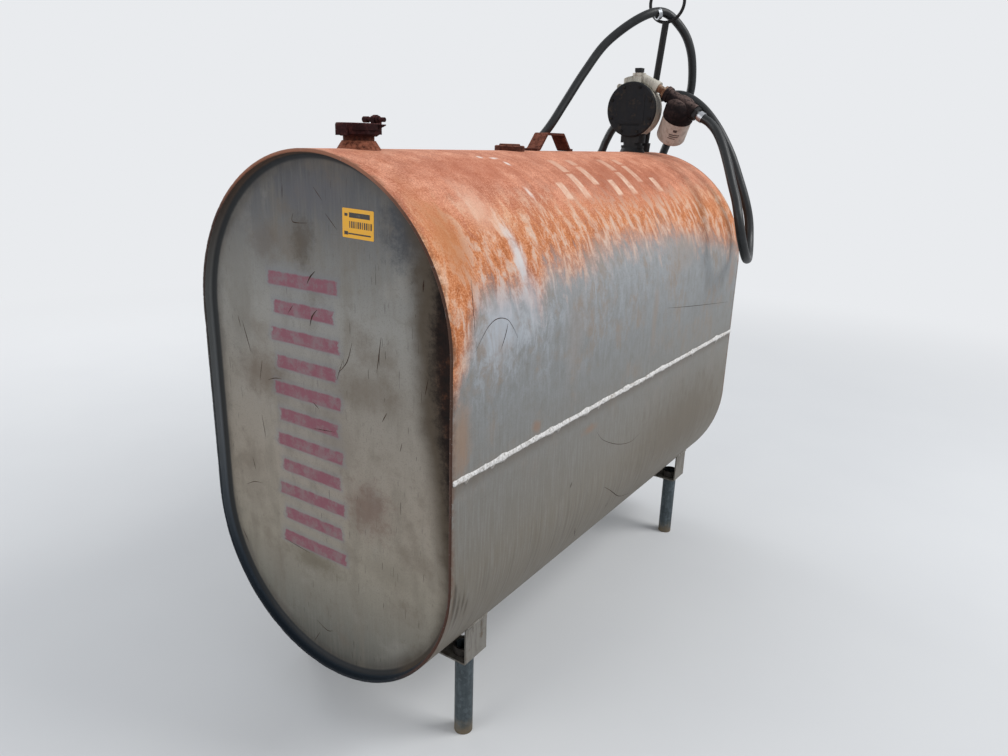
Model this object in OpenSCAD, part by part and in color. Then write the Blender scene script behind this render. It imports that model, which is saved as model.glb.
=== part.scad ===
// Obround farm fuel tank on four pipe legs, with a transfer pump, filter, hose and hose hanger.
// The origin is on the ground under the middle of the tank.
// The tank lies along Y, its near end faces -Y, and Z is up.

/* [Tank] */
// Length over both rims
tank_l = 1524; // [1000:2:2400]
// Width of the oval shell
tank_w = 686; // [500:2:900]
// Height of the oval shell
tank_h = 1118; // [800:2:1500]
// Height of the shell's lowest line above the ground
tank_clear = 156; // [120:1:500]
// Thickness of the shell sheet
sheet_t = 3; // [2:0.5:6]
// Thickness of the pressed heads
head_t = 3.5; // [2:0.5:6]
// Depth from the rim to the flat face of a head
head_recess = 25; // [18:1:60]
// Inside radius of the knuckle of a head
knuckle_r = 15; // [6:1:16]
// Height of the lengthwise seam, measured down from the middle of the shell
seam_drop = 8; // [0:1:60]

/* [Welds] */
// Height of a weld bead over the sheet
weld_proud = 2.5; // [1:0.5:4]
// Width of a weld bead
weld_w = 11; // [8:0.5:16]

/* [Legs] */
// Outside diameter of the leg pipe
leg_od = 42.2; // [33:0.1:60]
// Wall of the leg pipe
leg_wall = 3.6; // [2:0.1:6]
// Distance of each leg in from the side of the shell
leg_side = 95; // [85:1:140]
// Distance of each leg from the nearer rim
leg_inset = 175; // [100:1:400]
// Width of a leg bracket along the tank
bracket_w = 76; // [66:1:140]
// Plate thickness of a leg bracket
bracket_t = 4; // [3:0.5:8]
// Distance from the leg's axis to the outer face of the bracket's upright
bracket_out = 32; // [31:0.5:45]
// Gap between a leg's socket and the shell above it
socket_clear = 5.5; // [3:0.5:30]
// Wall of the threaded socket that the leg screws into
socket_wall = 4.6; // [3:0.1:8]
// Height of the threaded socket
socket_h = 20; // [14:1:26]

/* [Fill opening] */
// Distance of the fill opening from the near rim
fill_y = 140; // [110:1:400]
// Bore of the fill pipe
fill_bore = 52.5; // [30:0.5:60]
// Wall of the fill pipe
fill_wall = 3.9; // [3:0.1:5]
// Height of the fill spud over the shell
fill_spud_h = 15; // [12:1:30]
// Diameter of the fill cap
cap_d = 87; // [80:1:110]
// Height of the cap's body
cap_body_h = 11; // [9:1:20]
// Height of the cap's lid
lid_h = 13; // [10:1:20]
// Wall of the lid
lid_t = 4; // [3:0.5:6]
// Diameter of the hinge rod
hinge_rod_d = 9; // [6:0.5:12]
// Length of the hinge rod
hinge_rod_l = 48; // [40:1:70]
// Distance of the hinge rod behind the middle of the cap
hinge_back = 48; // [46:1:60]
// Height of the hinge rod over the lid's top
hinge_up = 8; // [6:0.5:12]

/* [Middle bung] */
// Distance of the middle bung from the near rim
bung_y = 665; // [500:1:740]
// Diameter of the bung's welded ring
bung_d = 75; // [60:1:90]
// Height of the bung over the shell
bung_h = 16; // [10:1:30]

/* [Lifting lug] */
// Distance from the middle bung to the middle of the lifting lug
lug_after_bung = 191; // [175:1:300]
// Width of the strap
lug_w = 40; // [25:1:60]
// Thickness of the strap
lug_t = 6; // [4:0.5:10]
// Height of the lug's top over the shell
lug_h = 46; // [35:1:70]
// Length of the lug's straight top
lug_top_l = 84; // [60:1:130]
// Distance between the lug's feet
lug_foot_l = 158; // [140:1:200]

/* [Pump] */
// Distance from the far rim to the front of the pump's cover
pump_back = 171; // [154:1:230]
// Diameter of the pump's cover
pump_cover_d = 166; // [130:1:190]
// Thickness of the pump's cover
pump_cover_t = 10; // [6:1:16]
// Depth of the pump's round body
pump_body_l = 50; // [36:1:60]
// Height of the pump's axis over the shell
pump_rise = 129; // [110:1:150]
// Diameter of the motor
motor_d = 100; // [70:1:120]
// Length of the motor
motor_l = 53; // [40:1:58]
// Diameter of the neck under the pump
pump_neck_d = 74; // [60:1:90]
// Diameter of the outlet arm
arm_d = 36; // [30:1:40]
// Slope of the outlet arm and the filter, in degrees
arm_slope = 30; // [15:1:40]

/* [Filter] */
// Diameter of the filter can
can_d = 92; // [70:1:100]
// Height of the filter can below its head
can_l = 84; // [50:1:90]
// Turn of the can about the arm, away from the near end, in degrees
can_turn = 29; // [0:1:35]
// Diameter of the outlet pipe between pump and filter
nipple_d = 24; // [18:1:30]

/* [Hose] */
// Outside diameter of the hose
hose_d = 27; // [20:0.5:30]

/* [Hanger] */
// Distance of the mast's foot from the far rim
mast_back = 44; // [38:1:80]
// Height of the mast's top over the shell
mast_h = 392; // [360:1:450]
// Outside diameter of the hanger's mast
mast_d = 21.3; // [16:0.1:27]
// Mean radius of the hanger's ring
ring_r = 57; // [50:1:75]
// Thickness of the ring's rod
ring_rod_d = 10; // [6:0.5:12]

/* [Hidden] */

$fn = 64;
oval_fn = 360;
// Clearance where one piece seats on another piece's curved face
seat = 0.2;
// Overrun of a cutting tool past the face that it cuts
over = 1;
// Overlap of two stretches of one bent piece
lap = 0.5;

// The oval shell: two half rounds with a straight side between them
shell_r = tank_w / 2;
straight = tank_h - tank_w;
mid_z = tank_clear + tank_h / 2;
top_z = tank_clear + tank_h;
round_z = straight / 2;
front_y = -tank_l / 2;
rear_y = tank_l / 2;
shell_l = tank_l - 2 * weld_proud;
seam_z = mid_z - seam_drop;

// A distance from the near rim and a height over the shell's top line, as places on Y and Z
function from_rim(d) = front_y + d;
function over_top(h) = top_z + h;

// Legs
function shell_under(x) = tank_clear + shell_r - sqrt(pow(shell_r, 2) - pow(x, 2));
leg_x = shell_r - leg_side;
leg_y = tank_l / 2 - leg_inset;
leg_r = leg_od / 2;
socket_r = leg_r + seat + socket_wall;
foot_z = shell_under(leg_x - socket_r) - socket_clear - socket_h - bracket_t;
pipe_into_socket = 16;
foot_hole_gap = 0.6;
bend_r = 4;

// Fill opening
neck_r = fill_bore / 2 + fill_wall;
spud_wall = 2.2;
neck_z = over_top(4);
cap_z = over_top(fill_spud_h + 8);
body_top_z = cap_z + cap_body_h;
neck_top_z = body_top_z - 5;
lid_gap = 0.3;
cap_curve = 4;
lid_z = body_top_z + lid_gap;
lid_top_z = lid_z + lid_h;
hinge_y = from_rim(fill_y + hinge_back);
hinge_z = lid_top_z + hinge_up;
eye_r = hinge_rod_d / 2 + 4.5;
eye_w = 8;
ear_t = 5;
ear_in = eye_w / 2 + 0.5;
rod_gap = 0.08;
rod_head_d = 12;
rod_head_l = 13;
rod_head_out = 8;
hasp_w = 26;
hasp_out = 5;
hasp_in = 14;
side_lug_l = 12;
side_lug_w = 9;
side_lug_h = 9;
side_lug_turn = 20;

// Middle bung and lifting lug
plug_gap = 11;
plug_sunk = 2;
lug_y = bung_y + lug_after_bung;

// Pump, arm and filter: they share one plane across the tank
pump_x = -5;
pump_y = tank_l - pump_back;
pump_z = over_top(pump_rise);
body_y = pump_y + pump_cover_t;
body_edge = 1;
pump_r = pump_cover_d / 2 - body_edge;
arm_y = from_rim(body_y + pump_body_l / 2);
spud_top = 12;
neck_step = 7;
neck_ring_h = 8;
neck_waist_h = 8;
neck_foot_more = 5;
boss_r = 21;
boss_h = 27;
boss_top_z = pump_z + pump_r + boss_h;
boss_lip = 8;
shoulder_turn = 17;
shoulder_d = 40;
shoulder_h = 19;
foot_lug_r = 9;
foot_lug_l = 16;
foot_lug_angle = 126;
cover_bevel = 3;
field_w = 92;
field_h = 84;
field_proud = 1.2;
slot_w = 68;
slot_h = 5;
slot_drop = 50;
plug_w = 22;
plug_h = 11;
plug_collar = 4;
motor_band = 12;
motor_step = 4;
motor_bevel = 5;
arm_over_body = 8.5;
arm_z = pump_z + (pump_r + arm_over_body) / cos(arm_slope);
arm_l = 80;
arm_start = 14;
arm_flare = 12;
arm_lip = 12;
nipple_show = 22;
nipple_end = arm_l + nipple_show;
union_l = 10;
union_af = 34;
head_in = nipple_end + union_l;
head_l = 112;
head_out = head_in + head_l;
bowl_wall = 2;
bowl_r = can_d / 2 + bowl_wall;
can_axis = head_out - bowl_r - seat;
can_in = 8;
can_lip = 10;
skirt_h = 27;
head_lip = 13;
head_pipe_r = 24;
skirt_w = 46;
bowl_round = 36;
bushing_l = 12;
bushing_af = 36;
ferrule_l = 21;
ferrule_wall = 2.5;
ferrule_neck = 6;
ferrule_neck_d = hose_d - 5;
motor_r = motor_d / 2;
cover_screws = 8;
screw_d = 9;
screw_h = 5;
screw_in = 3;

// Nozzle on the far end of the hose
nozzle_d = 38;
nozzle_l = 110;
nozzle_taper = 22;
inlet_l = 20;
lever_y = 31;
lever_w = 12;
lever_t = 5;
lever_top = 32;
lever_l = 80;
web_t = 10;
web_h = 8;
valve_r = 12;
valve_l = 38;
guard_w = 16;
guard_t = 6;
guard_r = 14;
guard_reach = 62;
guard_top = 28;
guard_drop = 90;
guard_tilt = 6;
inlet_less = 4;
taper_less = 8;
spout_collar = 2;
spout_d = 22;
spout_drop = 30;
spout_bend = 40;
spout_bend_r = 40;
spout_tip = 90;

// Hose hanger
mast_x = -5;
mast_lean = [33, 14];
mast_sink = 4;
mast_bottom = 8;
mast_foot = [mast_x, rear_y - mast_back, over_top(-mast_sink)];
mast_top = [mast_x + mast_lean[0], rear_y - mast_back + mast_lean[1], over_top(mast_h)];
mast_dir = unit(mast_top - mast_foot);
ring_mid = mast_top + [0, 0, ring_rod_d / 2 + ring_r];
hanger_wall = 6;
hanger_socket_h = 34;
clamp_l = 12;
clamp_wall = 4;

// The hose from the filter to the nozzle: right-hand loop, over the top behind the pump, left-hand loop,
// up and over the hanger, and down behind the far end. Each point is X, distance beyond the far rim and
// height over the shell's top line. The first two points are the hose's outlet and a straight run from it.
hose_points = [
    [272, -143, 67], [301, -162, 29], [333, -191, -24], [363, -222, -78], [391, -252, -126],
    [411, -275, -171], [424, -275, -221], [430, -251, -264], [427, -209, -292], [417, -158, -299],
    [403, -109, -282], [389, -74, -244], [377, -59, -195], [360, -57, -141], [331, -54, -75],
    [290, -49, 7], [232, -37, 88], [164, -21, 150], [92, -9, 181], [14, -4, 171], [-56, -3, 145],
    [-105, -5, 112], [-143, -8, 73], [-165, -12, 31], [-180, -16, -8], [-205, -23, -43],
    [-246, -36, -78], [-292, -55, -127], [-331, -76, -189], [-362, -104, -254], [-382, -146, -305],
    [-391, -196, -330], [-392, -242, -332], [-389, -284, -313], [-383, -320, -268],
    [-368, -342, -190], [-332, -354, -96], [-270, -349, -12], [-212, -324, 66], [-183, -274, 148],
    [-153, -216, 239], [-109, -160, 330], [-30, -102, 403], [20, -34, 426], [64, 21, 382],
    [88, 51, 321], [92, 76, 247], [84, 88, 183], [56, 93, 103], [18, 90, 26], [-2, 80, -54],
    [-8, 70, -134], [-8, 66, -204], [-8, 66, -259]];
hose_sides = 10;
hose_steps = 1;
clamp_at = 44;
hose_straight = 26;
hose_path = smooth_route(concat([hose_out(0), hose_out(hose_straight)],
    [for (p = hose_points) [p[0], rear_y + p[1], over_top(p[2])]]), hose_steps);
nozzle_top = hose_path[len(hose_path) - 1];

// Vectors
function unit(v) = v / norm(v);
function last(list) = list[len(list) - 1];

// A smooth curve through every given point, with n steps between two points
function curve_point(a, b, c, d, t) =
    0.5 * (2 * b + (c - a) * t + (2 * a - 5 * b + 4 * c - d) * t * t + (3 * b - a - 3 * c + d) * t * t * t);
function smooth_route(p, n) = concat(
    [for (i = [0:len(p) - 2]) for (k = [0:n - 1])
        curve_point(p[max(i - 1, 0)], p[i], p[i + 1], p[min(i + 2, len(p) - 1)], k / n)],
    [last(p)]);

// Directions along a path, and a sideways direction that is carried along it without twist
function path_dirs(p) = [for (i = [0:len(p) - 1]) unit(p[min(i + 1, len(p) - 1)] - p[max(i - 1, 0)])];
function carried(side, dirs, i = 0) = i == len(dirs) ? [] :
    let (s = unit(side - dirs[i] * (side * dirs[i]))) concat([s], carried(s, dirs, i + 1));

// A tube swept along a path as one closed solid
module swept_tube(path, r, sides) {
    dirs = path_dirs(path);
    side = carried(cross(dirs[0], [0, 1, 0]), dirs);
    n = len(path);
    points = [for (i = [0:n - 1]) for (j = [0:sides - 1])
        path[i] + r * (cos(360 * j / sides) * side[i] + sin(360 * j / sides) * cross(dirs[i], side[i]))];
    walls = [for (i = [0:n - 2]) for (j = [0:sides - 1])
        [i * sides + j, (i + 1) * sides + j, (i + 1) * sides + (j + 1) % sides, i * sides + (j + 1) % sides]];
    near_cap = [[for (j = [0:sides - 1]) j]];
    far_cap = [[for (j = [sides - 1:-1:0]) (n - 1) * sides + j]];
    polyhedron(points = points, faces = concat(walls, near_cap, far_cap), convexity = 8);
}

// A round bar from one point to another
module bar(a, b, r) {
    v = b - a;
    translate(a) rotate([0, acos(v[2] / norm(v)), atan2(v[1], v[0])]) cylinder(r = r, h = norm(v));
}

// Centre line of a bent strip: straight runs joined by arcs of radius r
function bend_arc(a, b, c, r, n = 6) =
    let (u = unit(a - b), v = unit(c - b), half = acos(u * v) / 2, turn = 180 - 2 * half,
        mid = b + unit(u + v) * r / sin(half), reach = r / tan(half),
        start = b + u * reach - mid, end = b + v * reach - mid)
    [for (k = [0:n]) mid + r * unit(start * sin((1 - k / n) * turn) + end * sin(k / n * turn))];
function bent_line(p, r) = concat([p[0]],
    [for (i = [1:len(p) - 2]) each bend_arc(p[i - 1], p[i], p[i + 1], r)], [last(p)]);
function left_of(v) = [-v[1], v[0]];

// Outline of a strip of thickness t along a centre line
module strip(p, r, t) {
    line = bent_line(p, r);
    dirs = path_dirs(line);
    n = len(line);
    polygon(concat(
        [for (i = [0:n - 1]) line[i] + left_of(dirs[i]) * t / 2],
        [for (i = [n - 1:-1:0]) line[i] - left_of(dirs[i]) * t / 2]));
}

// Extrude an outline drawn in X and Z along Y, centred on y = 0
module along_y(l) {
    rotate([90, 0, 0]) linear_extrude(height = l, center = true) children();
}

// Extrude an outline drawn in Y and Z along X, centred on x = 0
module along_x(l) {
    rotate([90, 0, 90]) linear_extrude(height = l, center = true) children();
}

// Oval outline of the shell, smaller by inset
module oval(inset) {
    r = shell_r - inset;
    for (s = [-1, 1]) translate([0, s * round_z]) circle(r = r, $fn = oval_fn);
    square([2 * r, straight], center = true);
}

// The space that the shell fills, grown by a seating clearance, to trim what stands on it
module shell_space(grow = seat) {
    translate([0, 0, mid_z]) along_y(shell_l) oval(-grow);
}

// Ring that follows the oval, from a cross-section drawn as outward distance and distance along Y
module oval_ring() {
    for (s = [0, 1]) mirror([0, 0, s]) translate([0, 0, round_z])
        rotate([90, 0, 0]) mirror([0, 0, 1]) rotate_extrude(angle = 180, $fn = oval_fn) children();
    translate([0, 0, -round_z]) linear_extrude(height = straight) union() {
        children();
        mirror([1, 0]) children();
    }
}

// Shell
module shell_sheet() {
    difference() {
        translate([0, 0, mid_z]) along_y(shell_l) difference() {
            oval(0);
            oval(sheet_t);
        }
        translate([0, from_rim(fill_y), mid_z]) cylinder(d = fill_bore + 2 * fill_wall - 4, h = tank_h);
    }
}

module half_space(upper) {
    translate([-tank_w, -tank_l, upper ? seam_z : seam_z - tank_h]) cube([2 * tank_w, 2 * tank_l, tank_h]);
}

module shell_upper() {
    color("#b98f7d") intersection() {
        shell_sheet();
        half_space(true);
    }
}

module shell_lower() {
    color("#a3a19d") intersection() {
        shell_sheet();
        half_space(false);
    }
}

// Cross-section of a bead that lies on a flat face: a low round cap
module bead_outline(w, proud) {
    r = (w * w / 4 + proud * proud) / (2 * proud);
    intersection() {
        translate([0, proud - r]) circle(r = r);
        translate([-w / 2, 0]) square([w, proud]);
    }
}

module seam_weld(side) {
    color("#d8d5cf") translate([side * shell_r, 0, seam_z]) rotate([0, side * 90, 0])
        along_y(shell_l - 2 * seat) bead_outline(weld_w, weld_proud);
}

// Heads: a flat plate with a rounded knuckle, its flange turned out to the rim
module head_outline() {
    outer = shell_r - sheet_t - seat;
    back = head_recess + head_t;
    bend = knuckle_r + head_t;
    translate([0, head_recess]) square([outer - bend, head_t]);
    translate([outer - head_t, weld_proud]) square([head_t, back - bend - weld_proud]);
    translate([outer - bend, back - bend]) intersection() {
        difference() {
            circle(r = bend);
            circle(r = knuckle_r);
        }
        square(bend);
    }
}

module head() {
    color("#9c9d9f") translate([0, front_y, mid_z]) oval_ring() head_outline();
}

module head_rear() {
    mirror([0, 1, 0]) head();
}

// Rim weld: closes the end between the shell and the head's flange
module rim_weld() {
    across = sheet_t + head_t;
    color("#8a8378") translate([0, front_y, mid_z]) oval_ring()
        translate([shell_r - across / 2, weld_proud]) mirror([0, 1]) bead_outline(across, weld_proud);
}

module rim_weld_rear() {
    mirror([0, 1, 0]) rim_weld();
}

// Legs
module leg_bracket(x_side, y_side) {
    mid = bracket_t / 2;
    inner = leg_x - 2 * leg_od;
    outer = leg_x + bracket_out - mid;
    top = shell_under(leg_x) + 2 * leg_od;
    color("#a9a49a") translate([0, y_side * leg_y, 0]) mirror([x_side < 0 ? 1 : 0, 0, 0]) difference() {
        along_y(bracket_w)
            strip([[inner, foot_z + mid], [outer, foot_z + mid], [outer, top]], bend_r, bracket_t);
        translate([0, 0, mid_z]) along_y(bracket_w + over) oval(-seat);
        translate([leg_x, 0, foot_z - over]) cylinder(r = leg_r + foot_hole_gap, h = bracket_t + 2 * over);
    }
}

module leg_socket(x_side, y_side) {
    color("#6f6d68") translate([x_side * leg_x, y_side * leg_y, foot_z + bracket_t]) difference() {
        cylinder(r = socket_r, h = socket_h);
        translate([0, 0, -over]) cylinder(r = leg_r + seat, h = socket_h + 2 * over);
    }
}

module leg_pipe(x_side, y_side) {
    color("#8d949c") translate([x_side * leg_x, y_side * leg_y, 0]) difference() {
        cylinder(r = leg_r, h = foot_z + bracket_t + pipe_into_socket);
        translate([0, 0, -over]) cylinder(r = leg_r - leg_wall, h = foot_z + tank_clear);
    }
}

// Fill opening
module at_fill() {
    translate([0, from_rim(fill_y), 0]) children();
}

module fill_spud() {
    spud_r = neck_r + seat + spud_wall;
    color("#8e6350") at_fill() difference() {
        translate([0, 0, over_top(-8)]) cylinder(r1 = spud_r + 15, r2 = spud_r, h = fill_spud_h + 8);
        translate([0, -from_rim(fill_y), 0]) shell_space();
        translate([0, 0, neck_z]) cylinder(r = neck_r + seat, h = fill_spud_h + over);
        cylinder(r = fill_bore / 2 + 1.5, h = over_top(fill_spud_h));
    }
}

module fill_neck() {
    color("#5c4038") at_fill() difference() {
        translate([0, 0, neck_z]) cylinder(r = neck_r, h = neck_top_z - neck_z);
        translate([0, 0, neck_z - over]) cylinder(r = fill_bore / 2, h = tank_h);
    }
}

// Cap body: eight flats over a rounded underside, two ears that hold the hinge rod, and a hasp lump
module fill_cap_body() {
    color("#4a2f2c") difference() {
        union() {
            at_fill() {
                translate([0, 0, cap_z + cap_curve]) rotate([0, 0, 22.5])
                    cylinder(d = cap_d, h = cap_body_h - cap_curve, $fn = 8);
                translate([0, 0, cap_z]) cylinder(d1 = cap_d - 18, d2 = cap_d - 7, h = cap_curve);
                hasp(cap_z + 1, cap_body_h - 1);
            }
            for (s = [-1, 1]) translate([s * (ear_in + ear_t / 2), 0, 0]) hinge_ear();
        }
        at_fill() {
            translate([0, 0, cap_z - over]) cylinder(r = neck_r + seat, h = neck_top_z - cap_z + over);
            translate([0, 0, cap_z]) cylinder(r = fill_bore / 2 + 1.5, h = cap_body_h + over);
        }
        translate([0, hinge_y, hinge_z]) rotate([0, 90, 0])
            cylinder(d = hinge_rod_d + 2 * rod_gap, h = hinge_rod_l + 2 * over, center = true);
    }
}

module hinge_ear() {
    ear_r = hinge_rod_d / 2 + 2.5;
    foot_y = from_rim(fill_y) + cap_d / 2 - 14;
    post_y = from_rim(fill_y) + cap_d / 2 + 0.5;
    translate([0, hinge_y, hinge_z]) rotate([0, 90, 0]) cylinder(r = ear_r, h = ear_t, center = true);
    translate([-ear_t / 2, post_y, cap_z + cap_curve])
        cube([ear_t, hinge_y + ear_r - post_y, hinge_z - cap_z - cap_curve]);
    translate([-ear_t / 2, foot_y, cap_z + cap_curve])
        cube([ear_t, hinge_y + ear_r - foot_y, cap_body_h - cap_curve]);
}

// Lump at the cap's front, opposite the hinge, where a lock would go
module hasp(z, h) {
    translate([-hasp_w / 2, -cap_d / 2 - hasp_out, z]) cube([hasp_w, hasp_in, h]);
}

module fill_hinge_rod() {
    color("#3f2a28") translate([0, hinge_y, hinge_z]) rotate([0, 90, 0]) {
        cylinder(d = hinge_rod_d, h = hinge_rod_l, center = true);
        translate([0, 0, -hinge_rod_l / 2 - rod_head_out]) cylinder(d = rod_head_d, h = rod_head_l);
    }
}

// Lid: a flat cap with a turned-down edge, an eye on the hinge rod, and a hasp lump
module fill_cap_lid() {
    color("#5a3330") difference() {
        union() {
            at_fill() {
                translate([0, 0, lid_z]) cylinder(d = cap_d, h = lid_h - 1.5);
                translate([0, 0, lid_top_z - 1.5]) cylinder(d1 = cap_d, d2 = cap_d - 3, h = 1.5);
                hasp(lid_z, lid_h - 4);
            }
            translate([0, hinge_y, hinge_z]) rotate([0, 90, 0])
                cylinder(r = eye_r, h = eye_w, center = true);
            translate([-eye_w / 2, hinge_y - 18, lid_top_z - lid_t]) cube([eye_w, 18, lid_t]);
            translate([-eye_w / 2, hinge_y - 10, lid_top_z - lid_t]) cube([eye_w, 10, hinge_up + lid_t]);
            at_fill() translate([0, 0, lid_top_z - 1.5]) rotate([0, 0, side_lug_turn]) along_y(side_lug_w)
                polygon([[cap_d / 2 - 3, -side_lug_h], [cap_d / 2 + side_lug_l, -2],
                    [cap_d / 2 + side_lug_l, 0], [cap_d / 2 - 3, 0]]);
        }
        at_fill() {
            translate([0, 0, lid_z - over]) cylinder(d = cap_d - 2 * lid_t, h = lid_h - lid_t + over);
        }
        translate([0, hinge_y, hinge_z]) rotate([0, 90, 0])
            cylinder(d = hinge_rod_d + 2 * rod_gap, h = eye_w + 2 * over, center = true);
    }
}

// Middle bung: a welded ring with a low pipe plug in it
module bung_ring() {
    color("#80503c") translate([0, from_rim(bung_y), 0]) difference() {
        union() {
            translate([0, 0, over_top(-6)]) cylinder(d = bung_d, h = bung_h);
            translate([0, 0, over_top(bung_h - 6)]) cylinder(d1 = bung_d, d2 = bung_d - 6, h = 2);
        }
        translate([0, -from_rim(bung_y), 0]) shell_space();
        translate([0, 0, over_top(plug_sunk)]) cylinder(d = bung_d - 2 * plug_gap, h = bung_h);
    }
}

module bung_plug() {
    plug_d = bung_d - 2 * plug_gap - 2 * seat;
    square_w = plug_d * 0.42;
    color("#5e3a2e") translate([0, from_rim(bung_y), 0]) difference() {
        union() {
            translate([0, 0, over_top(plug_sunk)]) cylinder(d = plug_d, h = bung_h - 2 - plug_sunk);
            translate([0, 0, over_top(bung_h - 2)]) cylinder(d1 = plug_d, d2 = plug_d - 4, h = 2);
        }
        translate([-square_w / 2, -square_w / 2, over_top(bung_h - 6)]) cube([square_w, square_w, bung_h]);
    }
}

// Lifting lug: one strap bent into a low bridge with two short feet
module lifting_lug() {
    mid = lug_t / 2;
    crown = lug_h - mid;
    foot_end = lug_foot_l / 2 + 14;
    color("#9b5f4d") translate([0, from_rim(lug_y), top_z]) difference() {
        along_x(lug_w) strip([[-foot_end, mid + seat], [-lug_foot_l / 2, mid + seat],
            [-lug_top_l / 2, crown], [lug_top_l / 2, crown],
            [lug_foot_l / 2, mid + seat], [foot_end, mid + seat]], 9, lug_t);
        translate([0, -from_rim(lug_y), -top_z]) shell_space();
    }
}

// Pump
module at_pump_axis(d) {
    translate([pump_x, from_rim(d), pump_z]) rotate([-90, 0, 0]) children();
}

module pump_spud() {
    color("#4f4642") translate([pump_x, arm_y, 0]) difference() {
        translate([0, 0, over_top(-6)])
            cylinder(d1 = pump_neck_d + 10, d2 = pump_neck_d - 4, h = spud_top + 6);
        translate([-pump_x, -arm_y, 0]) shell_space();
    }
}

module pump_neck() {
    z = over_top(spud_top);
    color("#3d3a38") translate([pump_x, arm_y, 0]) difference() {
        union() {
            translate([0, 0, z]) cylinder(d = pump_neck_d, h = neck_ring_h);
            translate([0, 0, z]) cylinder(d = pump_neck_d - 2 * neck_step, h = pump_rise - pump_r);
            translate([0, 0, z + neck_ring_h + neck_waist_h])
                cylinder(d = pump_neck_d + neck_foot_more, h = pump_rise - pump_r);
        }
        translate([-pump_x, -arm_y, 0]) at_pump_axis(pump_y - over) cylinder(r = pump_r + seat, h = tank_l);
        translate([-tank_w, pump_body_l / 2 - over / 4, 0]) cube([2 * tank_w, tank_l, 2 * top_z]);
        translate([-tank_w, -pump_body_l / 2 - tank_l + over / 4, 0]) cube([2 * tank_w, tank_l, 2 * top_z]);
    }
}

module arm_frame() {
    translate([0, arm_y, arm_z]) rotate([0, arm_slope, 0]) children();
}

module along_arm(d) {
    arm_frame() translate([d, 0, 0]) rotate([0, 90, 0]) children();
}

// Round body with the outlet arm and the plug's boss cast on
module pump_body() {
    color("#d9d2c0") union() {
        at_pump_axis(body_y) cylinder(r = pump_r, h = pump_body_l - 4);
        at_pump_axis(body_y + pump_body_l - 4) cylinder(r1 = pump_r, r2 = pump_r - 6, h = 4);
        translate([0, arm_y, pump_z]) cylinder(r = boss_r - 2, h = boss_top_z - pump_z);
        translate([0, arm_y, boss_top_z - boss_lip]) cylinder(r = boss_r, h = boss_lip);
        along_arm(arm_start) cylinder(d1 = arm_d - arm_flare, d2 = arm_d, h = arm_l - arm_start);
        along_arm(arm_l - arm_lip) cylinder(d = arm_d + 1, h = arm_lip);
        translate([pump_x, arm_y, pump_z]) rotate([0, -shoulder_turn, 0])
            translate([0, 0, pump_r - shoulder_d / 4])
            cylinder(d1 = shoulder_d + 6, d2 = shoulder_d - 6, h = shoulder_d / 4 + shoulder_h);
        at_pump_axis(body_y) rotate([0, 0, -foot_lug_angle]) translate([pump_r + 2, 0, 0])
            cylinder(r = foot_lug_r, h = foot_lug_l);
    }
}

module pump_cover() {
    color("#4b4642") difference() {
        union() {
            at_pump_axis(pump_y + cover_bevel) cylinder(d = pump_cover_d, h = pump_cover_t - cover_bevel);
            at_pump_axis(pump_y)
                cylinder(d1 = pump_cover_d - 2 * cover_bevel, d2 = pump_cover_d, h = cover_bevel);
            translate([pump_x - field_w / 2, from_rim(pump_y - field_proud), pump_z - field_h / 2])
                cube([field_w, field_proud + over, field_h]);
        }
        translate([pump_x - slot_w / 2, from_rim(pump_y - over), pump_z - slot_drop])
            cube([slot_w, over + cover_bevel, slot_h]);
    }
}

module pump_cover_screws() {
    color("#2f2c2a") for (k = [0:cover_screws - 1])
        at_pump_axis(pump_y - screw_h) rotate([0, 0, 360 * (k + 0.5) / cover_screws])
            translate([pump_cover_d / 2 - screw_d - screw_in, 0, 0])
                cylinder(d = screw_d, h = screw_h, $fn = 6);
}

module pump_plug() {
    color("#2f2c2a") translate([0, arm_y, boss_top_z]) {
        cylinder(r = boss_r - 8, h = plug_collar);
        translate([-plug_w / 2, -plug_w / 2, plug_collar]) cube([plug_w, plug_w, plug_h]);
    }
}

module pump_motor() {
    start = body_y + pump_body_l;
    color("#3b3937") {
        at_pump_axis(start) cylinder(r = motor_r - motor_step, h = motor_l - motor_bevel);
        at_pump_axis(start) cylinder(r = motor_r, h = motor_band);
        at_pump_axis(start + motor_l - motor_bevel - motor_band) cylinder(r = motor_r, h = motor_band);
        at_pump_axis(start + motor_l - motor_bevel)
            cylinder(r1 = motor_r, r2 = motor_r - motor_bevel, h = motor_bevel);
    }
}

// Outlet pipework and filter
module outlet_nipple() {
    color("#7a4a34") along_arm(arm_l) cylinder(d = nipple_d, h = head_in - arm_l);
}

module outlet_union() {
    color("#6b5a4c") along_arm(nipple_end) difference() {
        cylinder(d = union_af / cos(30), h = union_l, $fn = 6);
        translate([0, 0, -over]) cylinder(d = nipple_d + 2 * seat, h = union_l + 2 * over);
    }
}

module at_can() {
    arm_frame() translate([can_axis, 0, 0]) rotate([can_turn, 0, 0]) children();
}

// Filter head: a cast pipe run over a round bowl whose skirt holds the can
module filter_head() {
    color("#6e4434") difference() {
        union() {
            along_arm(head_in) cylinder(r = head_pipe_r - 3, h = head_l);
            along_arm(head_in) cylinder(r = head_pipe_r, h = head_lip);
            along_arm(head_out - head_lip) cylinder(r = head_pipe_r - 1, h = head_lip);
            at_can() rotate_extrude() bowl_outline();
        }
        at_can() translate([0, 0, -skirt_w - over]) cylinder(d = can_d + 2 * seat, h = can_in + over);
    }
}

module bowl_outline() {
    translate([0, -skirt_w]) square([bowl_r, skirt_h]);
    translate([0, skirt_h - skirt_w]) square([bowl_r - bowl_round, bowl_round]);
    translate([bowl_r - bowl_round, skirt_h - skirt_w]) intersection() {
        circle(r = bowl_round);
        square(bowl_round);
    }
}

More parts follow.
